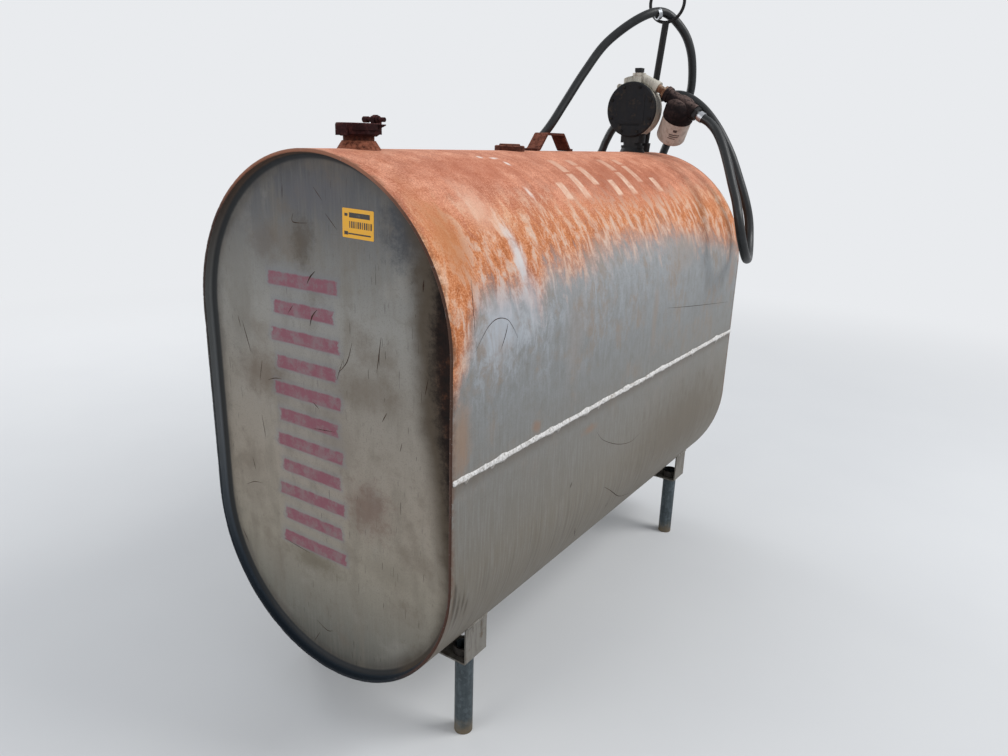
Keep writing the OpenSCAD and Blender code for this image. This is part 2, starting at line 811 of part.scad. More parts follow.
module filter_can() {
    color("#cfc6b6") at_can() translate([0, 0, -skirt_w - can_l]) {
        translate([0, 0, can_lip]) cylinder(d = can_d, h = can_l + can_in - seat - can_lip);
        rotate_extrude() {
            square([can_d / 2 - can_lip, can_lip]);
            translate([can_d / 2 - can_lip, can_lip]) intersection() {
                circle(r = can_lip);
                translate([0, -can_lip]) square(can_lip);
            }
        }
    }
}

module hose_bushing() {
    color("#3a3634") along_arm(head_out) cylinder(d = bushing_af / cos(30), h = bushing_l, $fn = 6);
}

module hose_ferrule() {
    color("#c9ccd0") along_arm(head_out + bushing_l) {
        cylinder(d = ferrule_neck_d, h = ferrule_neck);
        translate([0, 0, ferrule_neck])
            cylinder(d = hose_d + 2 * ferrule_wall, h = ferrule_l - ferrule_neck);
    }
}

// A point on the axis of the hose's outlet, d beyond the ferrule
function hose_out(d) = let (l = head_out + bushing_l + ferrule_l + d)
    [l * cos(arm_slope), arm_y, arm_z - l * sin(arm_slope)];

// Hose hanger
module hanger_socket() {
    top = mast_foot + hanger_socket_h * mast_dir;
    color("#5a5450") difference() {
        bar(mast_foot - mast_sink * mast_dir, top, mast_d / 2 + hanger_wall);
        bar(mast_foot + mast_bottom * mast_dir, mast_top, mast_d / 2 + seat);
        shell_space();
    }
}

module hanger_mast() {
    color("#2b2a2a") difference() {
        bar(mast_foot + mast_bottom * mast_dir, mast_top + ring_rod_d * mast_dir, mast_d / 2);
        translate(ring_mid) rotate([90, 0, 0])
            rotate_extrude($fn = 96) translate([ring_r, 0]) circle(d = ring_rod_d + 2 * seat, $fn = 24);
        translate([-tank_w, -tank_l, mast_top[2] + ring_rod_d * 0.6])
            cube([2 * tank_w, 2 * tank_l, tank_h]);
    }
}

module hanger_ring() {
    color("#33302e") translate(ring_mid) rotate([90, 0, 0])
        rotate_extrude($fn = 96) translate([ring_r, 0]) circle(d = ring_rod_d, $fn = 24);
}

// Band round the hose beside the ring
module hanger_clamp() {
    a = hose_path[clamp_at];
    b = hose_path[clamp_at + 1];
    spot = a + (b - a) * 0.7;
    dir = unit(b - a);
    color("#c9ccd0") difference() {
        bar(spot, spot + clamp_l * dir, hose_d / 2 + clamp_wall);
        bar(spot - over * dir, spot + (clamp_l + over) * dir, hose_d / 2 + seat);
    }
}

module fuel_hose() {
    color("#1f1f22") swept_tube(hose_path, hose_d / 2, hose_sides);
}

// Nozzle: hangs on the hose with its spout down
module at_nozzle() {
    translate(nozzle_top) children();
}

// Barrel of the nozzle, grown by a seating clearance to trim what is fastened to it
module nozzle_barrel(grow = 0) {
    d = nozzle_d + 2 * grow;
    translate([0, 0, -nozzle_l]) cylinder(d = d, h = nozzle_l - inlet_l);
    translate([0, 0, -nozzle_l - nozzle_taper]) cylinder(d1 = d - taper_less, d2 = d, h = nozzle_taper);
}

module nozzle_body() {
    color("#55585c") at_nozzle() {
        translate([0, 0, -inlet_l]) cylinder(d = nozzle_d - inlet_less, h = inlet_l, $fn = 6);
        nozzle_barrel();
        translate([0, lever_y - valve_r, -inlet_l - lever_top - valve_l]) cylinder(r = valve_r, h = valve_l);
        translate([-web_t / 2, 0, -lever_top - web_h]) cube([web_t, lever_y, web_h]);
    }
}

// Spout: straight, a bend away from the tank, then straight to the tip
module nozzle_spout() {
    color("#b9bcc0") at_nozzle() translate([0, 0, -nozzle_l - nozzle_taper]) {
        translate([0, 0, -spout_drop - lap]) cylinder(d = spout_d + spout_collar, h = spout_drop + lap);
        translate([0, spout_bend_r, -spout_drop])
            multmatrix([[0, 0, 1, 0], [-1, 0, 0, 0], [0, -1, 0, 0], [0, 0, 0, 1]])
                rotate_extrude(angle = spout_bend) translate([spout_bend_r, 0]) circle(d = spout_d);
        translate([0, spout_bend_r * (1 - cos(spout_bend)), -spout_drop - spout_bend_r * sin(spout_bend)])
            rotate([spout_bend, 0, 0]) translate([0, 0, -spout_tip])
                cylinder(d = spout_d - 1, h = spout_tip + lap);
    }
}

module nozzle_lever() {
    color("#2d2f33") at_nozzle() translate([-lever_w / 2, lever_y, -lever_top - lever_l])
        cube([lever_w, lever_t, lever_l]);
}

module nozzle_guard() {
    low = -guard_top - guard_drop;
    color("#3b3e42") at_nozzle() difference() {
        along_x(guard_w) strip([[0, -guard_top], [guard_reach, -guard_top], [guard_reach, low],
            [0, low - guard_tilt]], guard_r, guard_t);
        nozzle_barrel(seat);
    }
}

shell_upper();
shell_lower();
seam_weld(1);  // seam_weld_right
seam_weld(-1);  // seam_weld_left
head();  // head_front
head_rear();
rim_weld();  // rim_weld_front
rim_weld_rear();
leg_bracket(-1, -1);  // leg_bracket_front_left
leg_bracket(1, -1);  // leg_bracket_front_right
leg_bracket(-1, 1);  // leg_bracket_rear_left
leg_bracket(1, 1);  // leg_bracket_rear_right
leg_socket(-1, -1);  // leg_socket_front_left
leg_socket(1, -1);  // leg_socket_front_right
leg_socket(-1, 1);  // leg_socket_rear_left
leg_socket(1, 1);  // leg_socket_rear_right
leg_pipe(-1, -1);  // leg_pipe_front_left
leg_pipe(1, -1);  // leg_pipe_front_right
leg_pipe(-1, 1);  // leg_pipe_rear_left
leg_pipe(1, 1);  // leg_pipe_rear_right
fill_spud();
fill_neck();
fill_cap_body();
fill_hinge_rod();
fill_cap_lid();
bung_ring();
bung_plug();
lifting_lug();
pump_spud();
pump_neck();
pump_body();
pump_cover();
pump_cover_screws();
pump_plug();
pump_motor();
outlet_nipple();
outlet_union();
filter_head();
filter_can();
hose_bushing();
hose_ferrule();
hanger_socket();
hanger_mast();
hanger_ring();
hanger_clamp();
fuel_hose();
nozzle_body();
nozzle_spout();
nozzle_lever();
nozzle_guard();
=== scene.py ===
"""Oval fuel tank on four pipe legs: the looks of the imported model, laid out as an add-on."""
import math

import bmesh
import bpy
from mathutils import Matrix, Vector, noise


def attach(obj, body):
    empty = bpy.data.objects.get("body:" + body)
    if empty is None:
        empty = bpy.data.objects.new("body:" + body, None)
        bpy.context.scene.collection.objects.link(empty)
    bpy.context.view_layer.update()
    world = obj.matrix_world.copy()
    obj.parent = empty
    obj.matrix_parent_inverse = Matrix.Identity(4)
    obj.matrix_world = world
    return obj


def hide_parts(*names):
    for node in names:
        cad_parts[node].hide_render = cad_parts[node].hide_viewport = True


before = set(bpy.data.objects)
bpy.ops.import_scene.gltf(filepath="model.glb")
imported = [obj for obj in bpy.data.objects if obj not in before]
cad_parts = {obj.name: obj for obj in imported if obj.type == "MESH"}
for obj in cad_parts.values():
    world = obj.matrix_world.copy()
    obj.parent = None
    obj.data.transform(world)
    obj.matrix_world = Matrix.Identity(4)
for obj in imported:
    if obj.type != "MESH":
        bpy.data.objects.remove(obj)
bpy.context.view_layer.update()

bl_info = {
    "name": "Oval fuel tank",
    "version": (1, 1, 0),
    "blender": (4, 5, 0),
    "location": "3D View > Sidebar > Fuel tank",
    "description": "Dresses the packed oval fuel tank with its finishes, welds, hose and markings",
    "category": "Object",
}

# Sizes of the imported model, in metres
SHELL_R = 0.343
HALF_FLAT = 0.216
MID_Z = 0.715
ROUND_TOP = MID_Z + HALF_FLAT
ROUND_LOW = MID_Z - HALF_FLAT
HALF_WAY = math.pi * SHELL_R + 2 * HALF_FLAT
RIM_Y = 0.762
SEAM_Z = 0.707
SHELL_Y = 0.7595
LIP_Y = 0.742
HEAD_Y = 0.737
LEG_Y = 0.587
BRACKET_OUT = 0.281
BRACKET_IN = 0.18
CAN_R = 0.046
CAN_FOOT = Vector((0.0954, 0.689, 1.3211))
CAN_AXIS = Vector((0.4373, -0.4848, 0.7574))
CAN_FRONT = Vector((0.141, -0.795, -0.59))
HALF_TALL = SHELL_R + HALF_FLAT

# The welds: how high and how far from the rim and into the plate the seam's bead lies, where it was taken up
# again, the rim's bead across and along, the brackets' beads, and the number of rings in each
SEAM_HIGH, SEAM_SHORT, SEAM_SUNK = 0.0036, 0.002, 0.0008
SEAM_RESTARTS = (-0.6, -0.42, -0.26, -0.05, 0.18, 0.41, 0.62)
RIM_BEAD_R, RIM_BEAD_HALF = 0.0033, 0.0021
BRACKET_WIDE = 0.074
SEAM_RINGS, RIM_RINGS, BRACKET_RINGS = 560, 640, 40

# Plain bars. On the crown: how many to the metre, the beats before the first, and their number. On the near
# head: their middle, foot, pitch and number
GHOST_RATE, GHOST_START, GHOST_BARS = 11.7, 2.042, 7.0
PANEL_X, PANEL_FOOT, PANEL_PITCH, PANEL_BARS = -0.053, 0.415, 0.0585, 11.0

# The label: its middle on the near head, thickness, corner radius, and tilt in degrees. A mark is its middle
# across and up, its width and its height, as shares of the label
LABEL_X, LABEL_Z = 0.106, 1.1455
LABEL_THICK = 0.0004
LABEL_CORNER = 0.0022
LABEL_TILT = 1.5
LABEL_MARKS = [
    (0.05, 0.28, 0.66, 0.17), (0.05, -0.35, 0.72, 0.05), (-0.38, 0.28, 0.1, 0.1), (-0.38, -0.34, 0.12, 0.12)
] + [(-0.26 + 0.068 * k, -0.04, 0.042 if k % 3 else 0.026, 0.23) for k in range(11)]

# The print on the filter can: how far up and round each bar starts, its length and its height
CAN_MARKS = (
    (0.062, 0.002, 0.012, 0.009), (0.047, -0.008, 0.034, 0.0035),
    (0.04, -0.006, 0.03, 0.0035), (0.033, -0.008, 0.024, 0.003))

# How far a scratch or a print stands off its surface
LIFT = 0.0002

# Points that the hose follows, in metres
HOSE_ROUTE = [
    (0.2226, 0.626, 1.379), (0.2451, 0.626, 1.366), (0.272, 0.619, 1.341), (0.301, 0.6, 1.303),
    (0.333, 0.571, 1.25), (0.363, 0.54, 1.196), (0.391, 0.51, 1.148), (0.411, 0.487, 1.103),
    (0.424, 0.487, 1.053), (0.43, 0.511, 1.01), (0.427, 0.553, 0.982), (0.417, 0.604, 0.975),
    (0.403, 0.653, 0.992), (0.389, 0.688, 1.03), (0.377, 0.703, 1.079), (0.36, 0.705, 1.133),
    (0.331, 0.708, 1.199), (0.29, 0.713, 1.281), (0.232, 0.725, 1.362), (0.164, 0.741, 1.424),
    (0.092, 0.753, 1.455), (0.014, 0.758, 1.445), (-0.056, 0.759, 1.419), (-0.105, 0.757, 1.386),
    (-0.143, 0.754, 1.347), (-0.165, 0.75, 1.305), (-0.18, 0.746, 1.266), (-0.205, 0.739, 1.231),
    (-0.246, 0.726, 1.196), (-0.292, 0.707, 1.147), (-0.331, 0.686, 1.085), (-0.362, 0.658, 1.02),
    (-0.382, 0.616, 0.969), (-0.391, 0.566, 0.944), (-0.392, 0.52, 0.942), (-0.389, 0.478, 0.961),
    (-0.383, 0.442, 1.006), (-0.368, 0.42, 1.084), (-0.332, 0.408, 1.178), (-0.27, 0.413, 1.262),
    (-0.212, 0.438, 1.34), (-0.183, 0.488, 1.422), (-0.153, 0.546, 1.513), (-0.109, 0.602, 1.604),
    (-0.03, 0.66, 1.677), (0.02, 0.728, 1.7), (0.064, 0.783, 1.656), (0.088, 0.813, 1.595),
    (0.092, 0.838, 1.521), (0.084, 0.85, 1.457), (0.056, 0.855, 1.377), (0.018, 0.852, 1.3),
    (-0.002, 0.842, 1.22), (-0.008, 0.832, 1.14), (-0.008, 0.828, 1.07), (-0.008, 0.828, 1.015)]

# Scratches on the near head (x, z) and on the right side (y, way round from the crown), with their widths at
# the start, the middle and the end
THIN, MID, BROAD = (0.0003, 0.0014, 0.0003), (0.0004, 0.002, 0.0004), (0.0006, 0.0034, 0.0005)
HEAD_SCRATCHES = [
    (MID, -0.066, 1.153, -0.068, 1.136, -0.028, 1.137), (THIN, -0.093, 1.207, -0.095, 1.179),
    (BROAD, -0.012, 1.047, -0.027, 1.034, -0.037, 1.019),
    (BROAD, -0.012, 0.971, -0.027, 0.955, -0.034, 0.935), (THIN, -0.081, 0.971, -0.097, 0.952),
    (MID, -0.246, 0.915, -0.234, 0.879, -0.224, 0.848), (THIN, -0.259, 0.924, -0.252, 0.899),
    (THIN, -0.189, 0.836, -0.2, 0.789), (MID, -0.174, 0.795, -0.15, 0.804, -0.128, 0.806),
    (THIN, -0.202, 0.709, -0.194, 0.657), (MID, 0.157, 0.945, 0.144, 0.873),
    (MID, 0.081, 0.92, 0.066, 0.88, 0.04, 0.852), (THIN, 0.055, 0.882, 0.036, 0.837),
    (MID, 0.168, 0.798, 0.155, 0.777), (BROAD, 0.26, 1.064, 0.258, 1.042),
    (MID, 0.269, 0.884, 0.262, 0.854), (MID, -0.036, 0.775, -0.019, 0.764),
    (THIN, -0.04, 0.717, 0.025, 0.724), (THIN, 0.205, 0.746, 0.2, 0.727),
    (THIN, -0.245, 0.598, -0.237, 0.568), (THIN, -0.007, 1.205, 0.015, 1.182),
    (THIN, 0.022, 1.159, 0.052, 1.131), (THIN, -0.274, 0.522, -0.245, 0.537, -0.216, 0.541),
    (MID, -0.303, 0.399, -0.284, 0.368), (THIN, -0.152, 0.423, -0.07, 0.414),
    (MID, -0.059, 0.246, -0.027, 0.233, -0.008, 0.239), (THIN, -0.051, 0.217, -0.069, 0.188)]
SIDE_SCRATCHES = [
    (THIN, -0.697, 0.529, -0.682, 0.514, -0.655, 0.492, -0.625, 0.482,
     -0.594, 0.488, -0.576, 0.506, -0.56, 0.53),
    (MID, -0.616, 0.54, -0.6, 0.513, -0.592, 0.496), (THIN, -0.677, 0.403, -0.69, 0.45, -0.696, 0.507),
    (THIN, -0.195, 0.835, -0.158, 0.867, -0.075, 0.905, 0.006, 0.925, 0.067, 0.919),
    (THIN, 0.176, 0.591, 0.376, 0.617, 0.7, 0.655),
    (MID, -0.129, 1.005, -0.084, 1.033, 0.014, 1.096, 0.119, 1.136), (BROAD, -0.307, 0.925, -0.315, 0.937),
    (MID, -0.066, 1.08, -0.071, 1.096), (MID, -0.245, 1.078, -0.217, 1.121)]

# The photo's viewpoint: place, and the directions to the right, down and ahead. The lens is in millimetres
CAMERA_PLACE = Vector((1.09972, -1.73439, 1.29712))
CAMERA_RIGHT = Vector((0.82569151, 0.56339065, 0.02871432))
CAMERA_DOWN = Vector((0.1913168, -0.23177846, -0.95376969))
CAMERA_AHEAD = Vector((-0.53068956, 0.79301307, -0.2991636))
CAMERA_LENS = 27.04
SENSOR_WIDE = 36.0
SIGHT_END = 200.0

# Soft square lamps: name, place, width and power. They aim at the middle of the tank
LAMPS = (
    ("key softbox", (3.6, 1.6, 4.6), 2.6, 185.0), ("front fill", (-1.6, -4.6, 2.4), 3.2, 80.0),
    ("left fill", (-4.6, 1.2, 2.6), 3.0, 70.0))
LAMP_AIM = Vector((0, 0, 0.8))
SKY, SKY_LEVEL = "#e8edf5", 0.6
BACKDROP = "#e9ebee"
FLOOR_DROP = 0.0005

# Settings that many shader nodes share
SOFT = {"interpolation_type": "SMOOTHSTEP"}
TINT = {"data_type": "RGBA", "out": 2}
TIMES = {"operation": "MULTIPLY"}
PLUS = {"operation": "ADD"}
MINUS = {"operation": "SUBTRACT"}
SCALED_PLUS = {"operation": "MULTIPLY_ADD"}
LARGER = {"operation": "MAXIMUM"}


def linear(hex_colour):
    """An sRGB hex colour as a linear colour with alpha."""
    parts = [int(hex_colour[i:i + 2], 16) / 255 for i in (1, 3, 5)]
    return tuple(p / 12.92 if p <= 0.04045 else ((p + 0.055) / 1.055) ** 2.4 for p in parts) + (1.0,)


def add(tree, kind, inputs=(), out=0, stops=(), **settings):
    """Adds one shader node with its settings, values and links, and returns one of its outputs."""
    node = tree.nodes.new("ShaderNode" + kind)
    for key, value in settings.items():
        setattr(node, key, value)
    for key, value in inputs.items() if isinstance(inputs, dict) else enumerate(inputs):
        if isinstance(value, bpy.types.NodeSocket):
            tree.links.new(value, node.inputs[key])
        else:
            node.inputs[key].default_value = linear(value) if isinstance(value, str) else value
    if stops:
        ramp = node.color_ramp.elements
        ramp[0].position, ramp[1].position = stops[0][0], stops[-1][0]
        for place, _ in stops[1:-1]:
            ramp.new(place)
        for element, (_, colour) in zip(ramp, stops):
            element.color = linear(colour) if isinstance(colour, str) else (colour, colour, colour, 1.0)
    return node if out is None else node.outputs[out]


def start(name, *patterns):
    """A new material, its empty node tree, the place on the object, and noise patterns there. A pattern is
    its scale, detail and roughness, and its scale in x, y and z where rain has drawn it out."""
    material = bpy.data.materials.new(name)
    material.use_nodes = True
    tree = material.node_tree
    tree.nodes.clear()
    place = add(tree, "TexCoord", out=3)
    made = []
    for scale, detail, roughness, *drawn in patterns:
        space = add(tree, "Mapping", {"Vector": place, "Scale": drawn}) if drawn else place
        made.append(add(tree, "TexNoise", {"Vector": space, "Scale": scale, "Detail": detail,
                                           "Roughness": roughness}))
    return material, tree, place, *made


def close(material, colour, rough, height, depth, metallic, strength, shine=0.5):
    """Ends a material with its shader and a bump, whose depth is in metres. Old dull skins shine less."""
    tree = material.node_tree
    bump = add(tree, "Bump", {"Strength": strength, "Distance": depth, "Height": height})
    shader = add(tree, "BsdfPrincipled", {"Base Color": colour, "Roughness": rough, "Metallic": metallic,
                                          "Specular IOR Level": shine, "Normal": bump})
    add(tree, "OutputMaterial", (shader,), out=None)
    return material


def wash(tree, colour, *rows):
    """Lays tones over a colour in turn. A row is its tone and a pattern: the tone shows softly where the
    pattern goes from low to high, up to a cover."""
    for tone, pattern, low, high, cover in rows:
        amount = add(tree, "MapRange", (pattern, low, high, 0.0, cover), **SOFT)
        colour = add(tree, "Mix", {0: amount, 6: colour, 7: tone}, **TINT)
    return colour


def keep(tree, mask, *rows):
    """Keeps a mask only where the value of each row has gone softly from low to high."""
    for value, low, high in rows:
        mask = add(tree, "MapRange", (value, low, high, 0.0, mask), **SOFT)
    return mask


def beat(tree, beats, cycle):
    """The place within a beat, from 0 to 1, and the number of the beat in its cycle."""
    whole = add(tree, "Math", (beats,), operation="FLOOR")
    return (add(tree, "Math", (beats,), operation="FRACT"),
            add(tree, "Math", (whole, cycle), operation="MODULO"))


def dusted(tree, colour, dust, pattern, full, level, cover):
    """Lays dust on what faces up more than a level, broken up by a pattern."""
    facing = add(tree, "SeparateXYZ", (add(tree, "NewGeometry", out=1),), out=2)
    settled = keep(tree, cover, (facing, level, level + 0.6))
    return wash(tree, colour, (dust, pattern, 0.35, full, settled))


def in_sight(tree):
    """One for what the camera sees, also mirrored or through glass, and nought for what only gives light."""
    rays = add(tree, "LightPath", out=None).outputs
    seen = add(tree, "Math", (rays["Is Camera Ray"], rays["Is Glossy Ray"]), **LARGER)
    return add(tree, "Math", (seen, rays["Is Transmission Ray"]), **LARGER)


def smudges(tree, surface, ragged, colour, spots):
    """Lays soft-edged spots over a colour. A spot is its place on the flattened surface, its two
    half widths in metres, its colour and how much of it covers."""
    for across, along, wide, long, tone, cover in spots:
        local = add(tree, "Mapping", {"Vector": surface, "Scale": (1 / wide, 1 / long, 0),
                                      "Location": (-across / wide, -along / long, 0)})
        reach = add(tree, "VectorMath", (local,), out=1, operation="LENGTH")
        broken = add(tree, "Math", (ragged, 2.6, reach), **SCALED_PLUS)
        colour = wash(tree, colour, (tone, broken, 2.5, 1.45, cover))
    return colour


def dress(material, *nodes):
    """Gives CAD nodes their finish."""
    for name in nodes:
        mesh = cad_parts[name].data
        mesh.materials.clear()
        mesh.materials.append(material)


def put(name, data):
    """A new object in the scene."""
    obj = bpy.data.objects.new(name, data)
    bpy.context.scene.collection.objects.link(obj)
    return obj


def put_mesh(name, bm, material, smooth=True):
    """A new object from a bmesh, dressed in a material."""
    mesh = bpy.data.meshes.new(name)
    bm.to_mesh(mesh)
    bm.free()
    for face in mesh.polygons:
        face.use_smooth = smooth
    mesh.materials.append(material)
    return put(name, mesh)


def new_piece(name, bm, material, slot, replaces=(), smooth=True):
    """Makes a piece from a bmesh, and lets it ride on the tank."""
    obj = put_mesh(name, bm, material, smooth)
    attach(obj, "tank")
    if replaces:
        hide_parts(*replaces)


# Finishes of the shell and the heads

def shell_finish():
    """Aluminium paint that the sun has taken off the crown: the steel there has a dry, dusty pink-brown rust,
    which breaks into orange strokes on the shoulders. Lower down the paint is chalky, dull and finely
    streaked, and darker and browner towards the belly, with thin dark runs there; the darkening of the
    belly is painted shade where it faces down."""
    material, t, place, dents = start("weathered aluminium paint over rust", (4.6, 2.0, 0.4))
    x, y, z = add(t, "SeparateXYZ", (place,), out=None).outputs
    # The way round the oval from the crown line, in metres: down has no sign, arc is minus on the left
    above = add(t, "Math", (add(t, "Math", (z, ROUND_TOP), **MINUS), 0.0), **LARGER)
    below = add(t, "Math", (add(t, "Math", (ROUND_LOW, z), **MINUS), 0.0), **LARGER)
    wide = add(t, "Math", (x,), operation="ABSOLUTE")
    turned = add(t, "Math", (add(t, "Math", (wide, above), operation="ARCTAN2"),
                             add(t, "Math", (below, wide), operation="ARCTAN2")), **PLUS)
    fall = add(t, "MapRange", (z, ROUND_TOP, ROUND_LOW, 0.0, 2 * HALF_FLAT))
    down = add(t, "Math", (turned, SHELL_R, fall), **SCALED_PLUS)
    arc = add(t, "Math", (down, add(t, "Math", (x,), operation="SIGN")), **TIMES)
    around = add(t, "CombineXYZ", (y, arc, 0.0))
    # Rain streaks 5 mm wide and some 120 mm long, rust strokes 25 mm wide and 60 mm long
    streaked = add(t, "Mapping", {"Vector": around, "Scale": (1, 0.045, 1)})
    stroked = add(t, "Mapping", {"Vector": around, "Rotation": (0, 0, 0.12), "Scale": (1, 0.42, 1)})
    strokes = add(t, "TexNoise", {"Vector": stroked, "Scale": 40.0, "Detail": 8.0, "Roughness": 0.7,
                                  "Distortion": 0.5})
    fine, blotches, mottle, speck = (
        add(t, "TexNoise", {"Vector": space, "Scale": scale, "Detail": detail, "Roughness": broken})
        for space, scale, detail, broken in (
            (streaked, 190.0, 5.0, 0.7), (around, 6.5, 5.0, 0.65), (around, 24.0, 9.0, 0.78),
            (around, 260.0, 3.0, 0.8)))
    # How far down the rust reaches along the tank
    length = add(t, "MapRange", (y, -RIM_Y, RIM_Y, 0.0, 1.0))
    reach = add(t, "ValToRGB", (length,), stops=[
        (0.0, 0.6), (0.03, 0.52), (0.06, 0.44), (0.15, 0.43), (0.19, 0.47), (0.22, 0.41), (0.31, 0.415),
        (0.45, 0.385), (0.69, 0.396), (0.86, 0.435), (0.95, 0.468), (1.0, 0.48)])
    ragged = down
    for pattern, share in ((blotches, 0.16), (strokes, 0.24), (fine, 0.06)):
        ragged = add(t, "Math", (pattern, share, ragged), **SCALED_PLUS)
    depth = add(t, "Math", (ragged, reach), **MINUS)
    rust = keep(t, 1.0, (depth, 0.29, 0.185))
    # The crown is a dusty pink-brown, mottled with purple-brown
    dusty = add(t, "ValToRGB", (mottle,), stops=[
        (0.32, "#ad6849"), (0.45, "#cb8162"), (0.56, "#de997a"), (0.7, "#ebb194")])
    dusty = wash(t, dusty, ("#a75f44", blotches, 0.47, 0.62, 0.6), ("#dc9c80", strokes, 0.55, 0.4, 0.45))
    low_down = add(t, "MapRange", (depth, 0.02, 0.2, 0.0, 0.055))
    tone = add(t, "Math", (mottle, 0.4, low_down), **SCALED_PLUS)
    tone = add(t, "Math", (strokes, 0.6, tone), **SCALED_PLUS)
    orange = add(t, "ValToRGB", (tone,), stops=[
        (0.4, "#e7c2a7"), (0.47, "#e1a981"), (0.52, "#d38a5a"), (0.58, "#bf723e"), (0.67, "#9b562b")])
    broken = add(t, "Math", (strokes, -0.26, down), **SCALED_PLUS)
    rusty = wash(t, orange, (dusty, broken, 0.215, 0.085, 1.0))
    # The rust's own grain, 2 to 4 mm
    rusty = wash(t, rusty, ("#87452a", speck, 0.46, 0.6, 0.36), ("#f0c2a3", speck, 0.5, 0.36, 0.32))
    # Chalky paint is left between the strokes on the shoulder
    shoulder = keep(t, 0.62, (depth, -0.02, 0.2))
    rusty = wash(t, rusty, ("#c6b3a6", strokes, 0.53, 0.41, shoulder))
    # The paint: bluish and light on the shoulder, grey at mid height, darker and brownish on the belly, a
    # painted shade where it faces down
    paint = add(t, "ValToRGB", (add(t, "Math", (down, 1.5), operation="DIVIDE"),), stops=[
        (0.24, "#9c9fa2"), (0.33, "#8f9294"), (0.42, "#7f8181"), (0.52, "#787671"), (0.65, "#726b5f"),
        (0.78, "#665c4d"), (0.95, "#4b4437")])
    paint = wash(t, paint, ("#a0a2a2", fine, 0.42, 0.64, 0.22))
    haze = keep(t, add(t, "MapRange", (y, 0.1, -0.45, 0.12, 0.45)), (down, 0.74, 0.5))
    paint = wash(t, paint, ("#acb1b8", strokes, 0.53, 0.38, haze), ("#6c675e", strokes, 0.5, 0.68, 0.3))
    stain = keep(t, 0.62, (down, 0.95, 0.45), (blotches, 0.47, 0.6))
    stain = add(t, "Math", (stain, add(t, "MapRange", (strokes, 0.42, 0.6, 0.15, 1.0), **SOFT)), **TIMES)
    paint = add(t, "Mix", {0: stain, 6: paint, 7: "#94806f"}, **TINT)
    paint = wash(t, paint, ("#6f6a61", mottle, 0.42, 0.62, 0.22), ("#5f5b53", speck, 0.48, 0.64, 0.22))
    spots = add(t, "MapRange", (speck, 0.64, 0.71, 0.0, add(t, "MapRange", (mottle, 0.48, 0.62, 0.0, 0.75))))
    paint = add(t, "Mix", {0: spots, 6: paint, 7: "#7b5137"}, **TINT)
    # Thin dark runs on the belly, and a painted shadow that hangs under the seam bead
    trickled = add(t, "Mapping", {"Vector": around, "Location": (0.3, 0.2, 0), "Scale": (1, 0.022, 1)})
    trickles = add(t, "TexNoise", {"Vector": trickled, "Scale": 120.0, "Detail": 2.0, "Roughness": 0.5})
    belly = keep(t, 0.45, (down, 0.86, 1.12))
    paint = wash(t, paint, ("#4b4438", trickles, 0.55, 0.63, belly))
    # Painted shadow under the seam bead, with a ragged lower edge
    seam_shadow_edge = add(t, "Math", (fine, -0.05, down), **SCALED_PLUS)
    seam_shadow_cover = add(t, "MapRange", (down, 0.764, 0.772, 0.0, 0.6))
    paint = wash(t, paint, ("#5d5348", seam_shadow_edge, 0.772, 0.742, seam_shadow_cover))
    colour = add(t, "Mix", {0: rust, 6: paint, 7: rusty}, **TINT)
    # Marks that time has left: pale paint on the near shoulder, flecks, rust at the near rim, dark scuffs,
    # and one broad painted shade over the rear of the belly
    brushed = add(t, "Math", (strokes, 0.7, add(t, "Math", (mottle, 0.3), **TIMES)), **SCALED_PLUS)
    colour = smudges(t, around, brushed, colour, [
        (0.15, 0.205, 0.44, 0.105, "#9c5335", 0.62), (-0.44, 0.15, 0.22, 0.07, "#ad5f42", 0.5),
        (-0.56, 0.27, 0.06, 0.08, "#dfb69f", 0.55), (-0.509, 0.375, 0.022, 0.065, "#d3d2d1", 0.85),
        # Painted shade: the broad dark brown spot over the rear of the belly
        (0.4, 0.98, 0.46, 0.17, "#5b5040", 0.6), (-0.7, 0.3, 0.06, 0.13, "#bd7444", 0.5),
        (-0.61, 0.5, 0.1, 0.09, "#b2b7be", 0.65), (-0.5, 0.47, 0.05, 0.09, "#b5b9bf", 0.55),
        (0.3, 0.45, 0.12, 0.06, "#92857b", 0.45), (-0.33, 0.56, 0.05, 0.12, "#8d8279", 0.4),
        (-0.346, 0.24, 0.01, 0.022, "#e6d5ca", 0.8), (-0.35, 0.094, 0.01, 0.009, "#e9ded5", 0.85),
        (-0.308, 0.101, 0.016, 0.007, "#e9ded5", 0.85), (-0.296, 0.131, 0.008, 0.01, "#e9ded5", 0.85),
        (-0.735, 0.68, 0.034, 0.09, "#97714f", 0.55), (-0.69, 0.33, 0.04, 0.09, "#b97c50", 0.55),
        (-0.475, 0.735, 0.022, 0.016, "#8d6a50", 0.6), (-0.235, 0.815, 0.04, 0.014, "#8a6b54", 0.55),
        (-0.746, 1.02, 0.007, 0.055, "#3d342a", 0.8), (-0.731, 1.04, 0.006, 0.045, "#3d342a", 0.8),
        (-0.716, 1.03, 0.006, 0.038, "#463c30", 0.75), (-0.701, 1.048, 0.006, 0.03, "#463c30", 0.75),
        (0.7, 0.56, 0.03, 0.06, "#8b6e5b", 0.45), (0.1, 0.6, 0.02, 0.11, "#8f7f72", 0.5)])
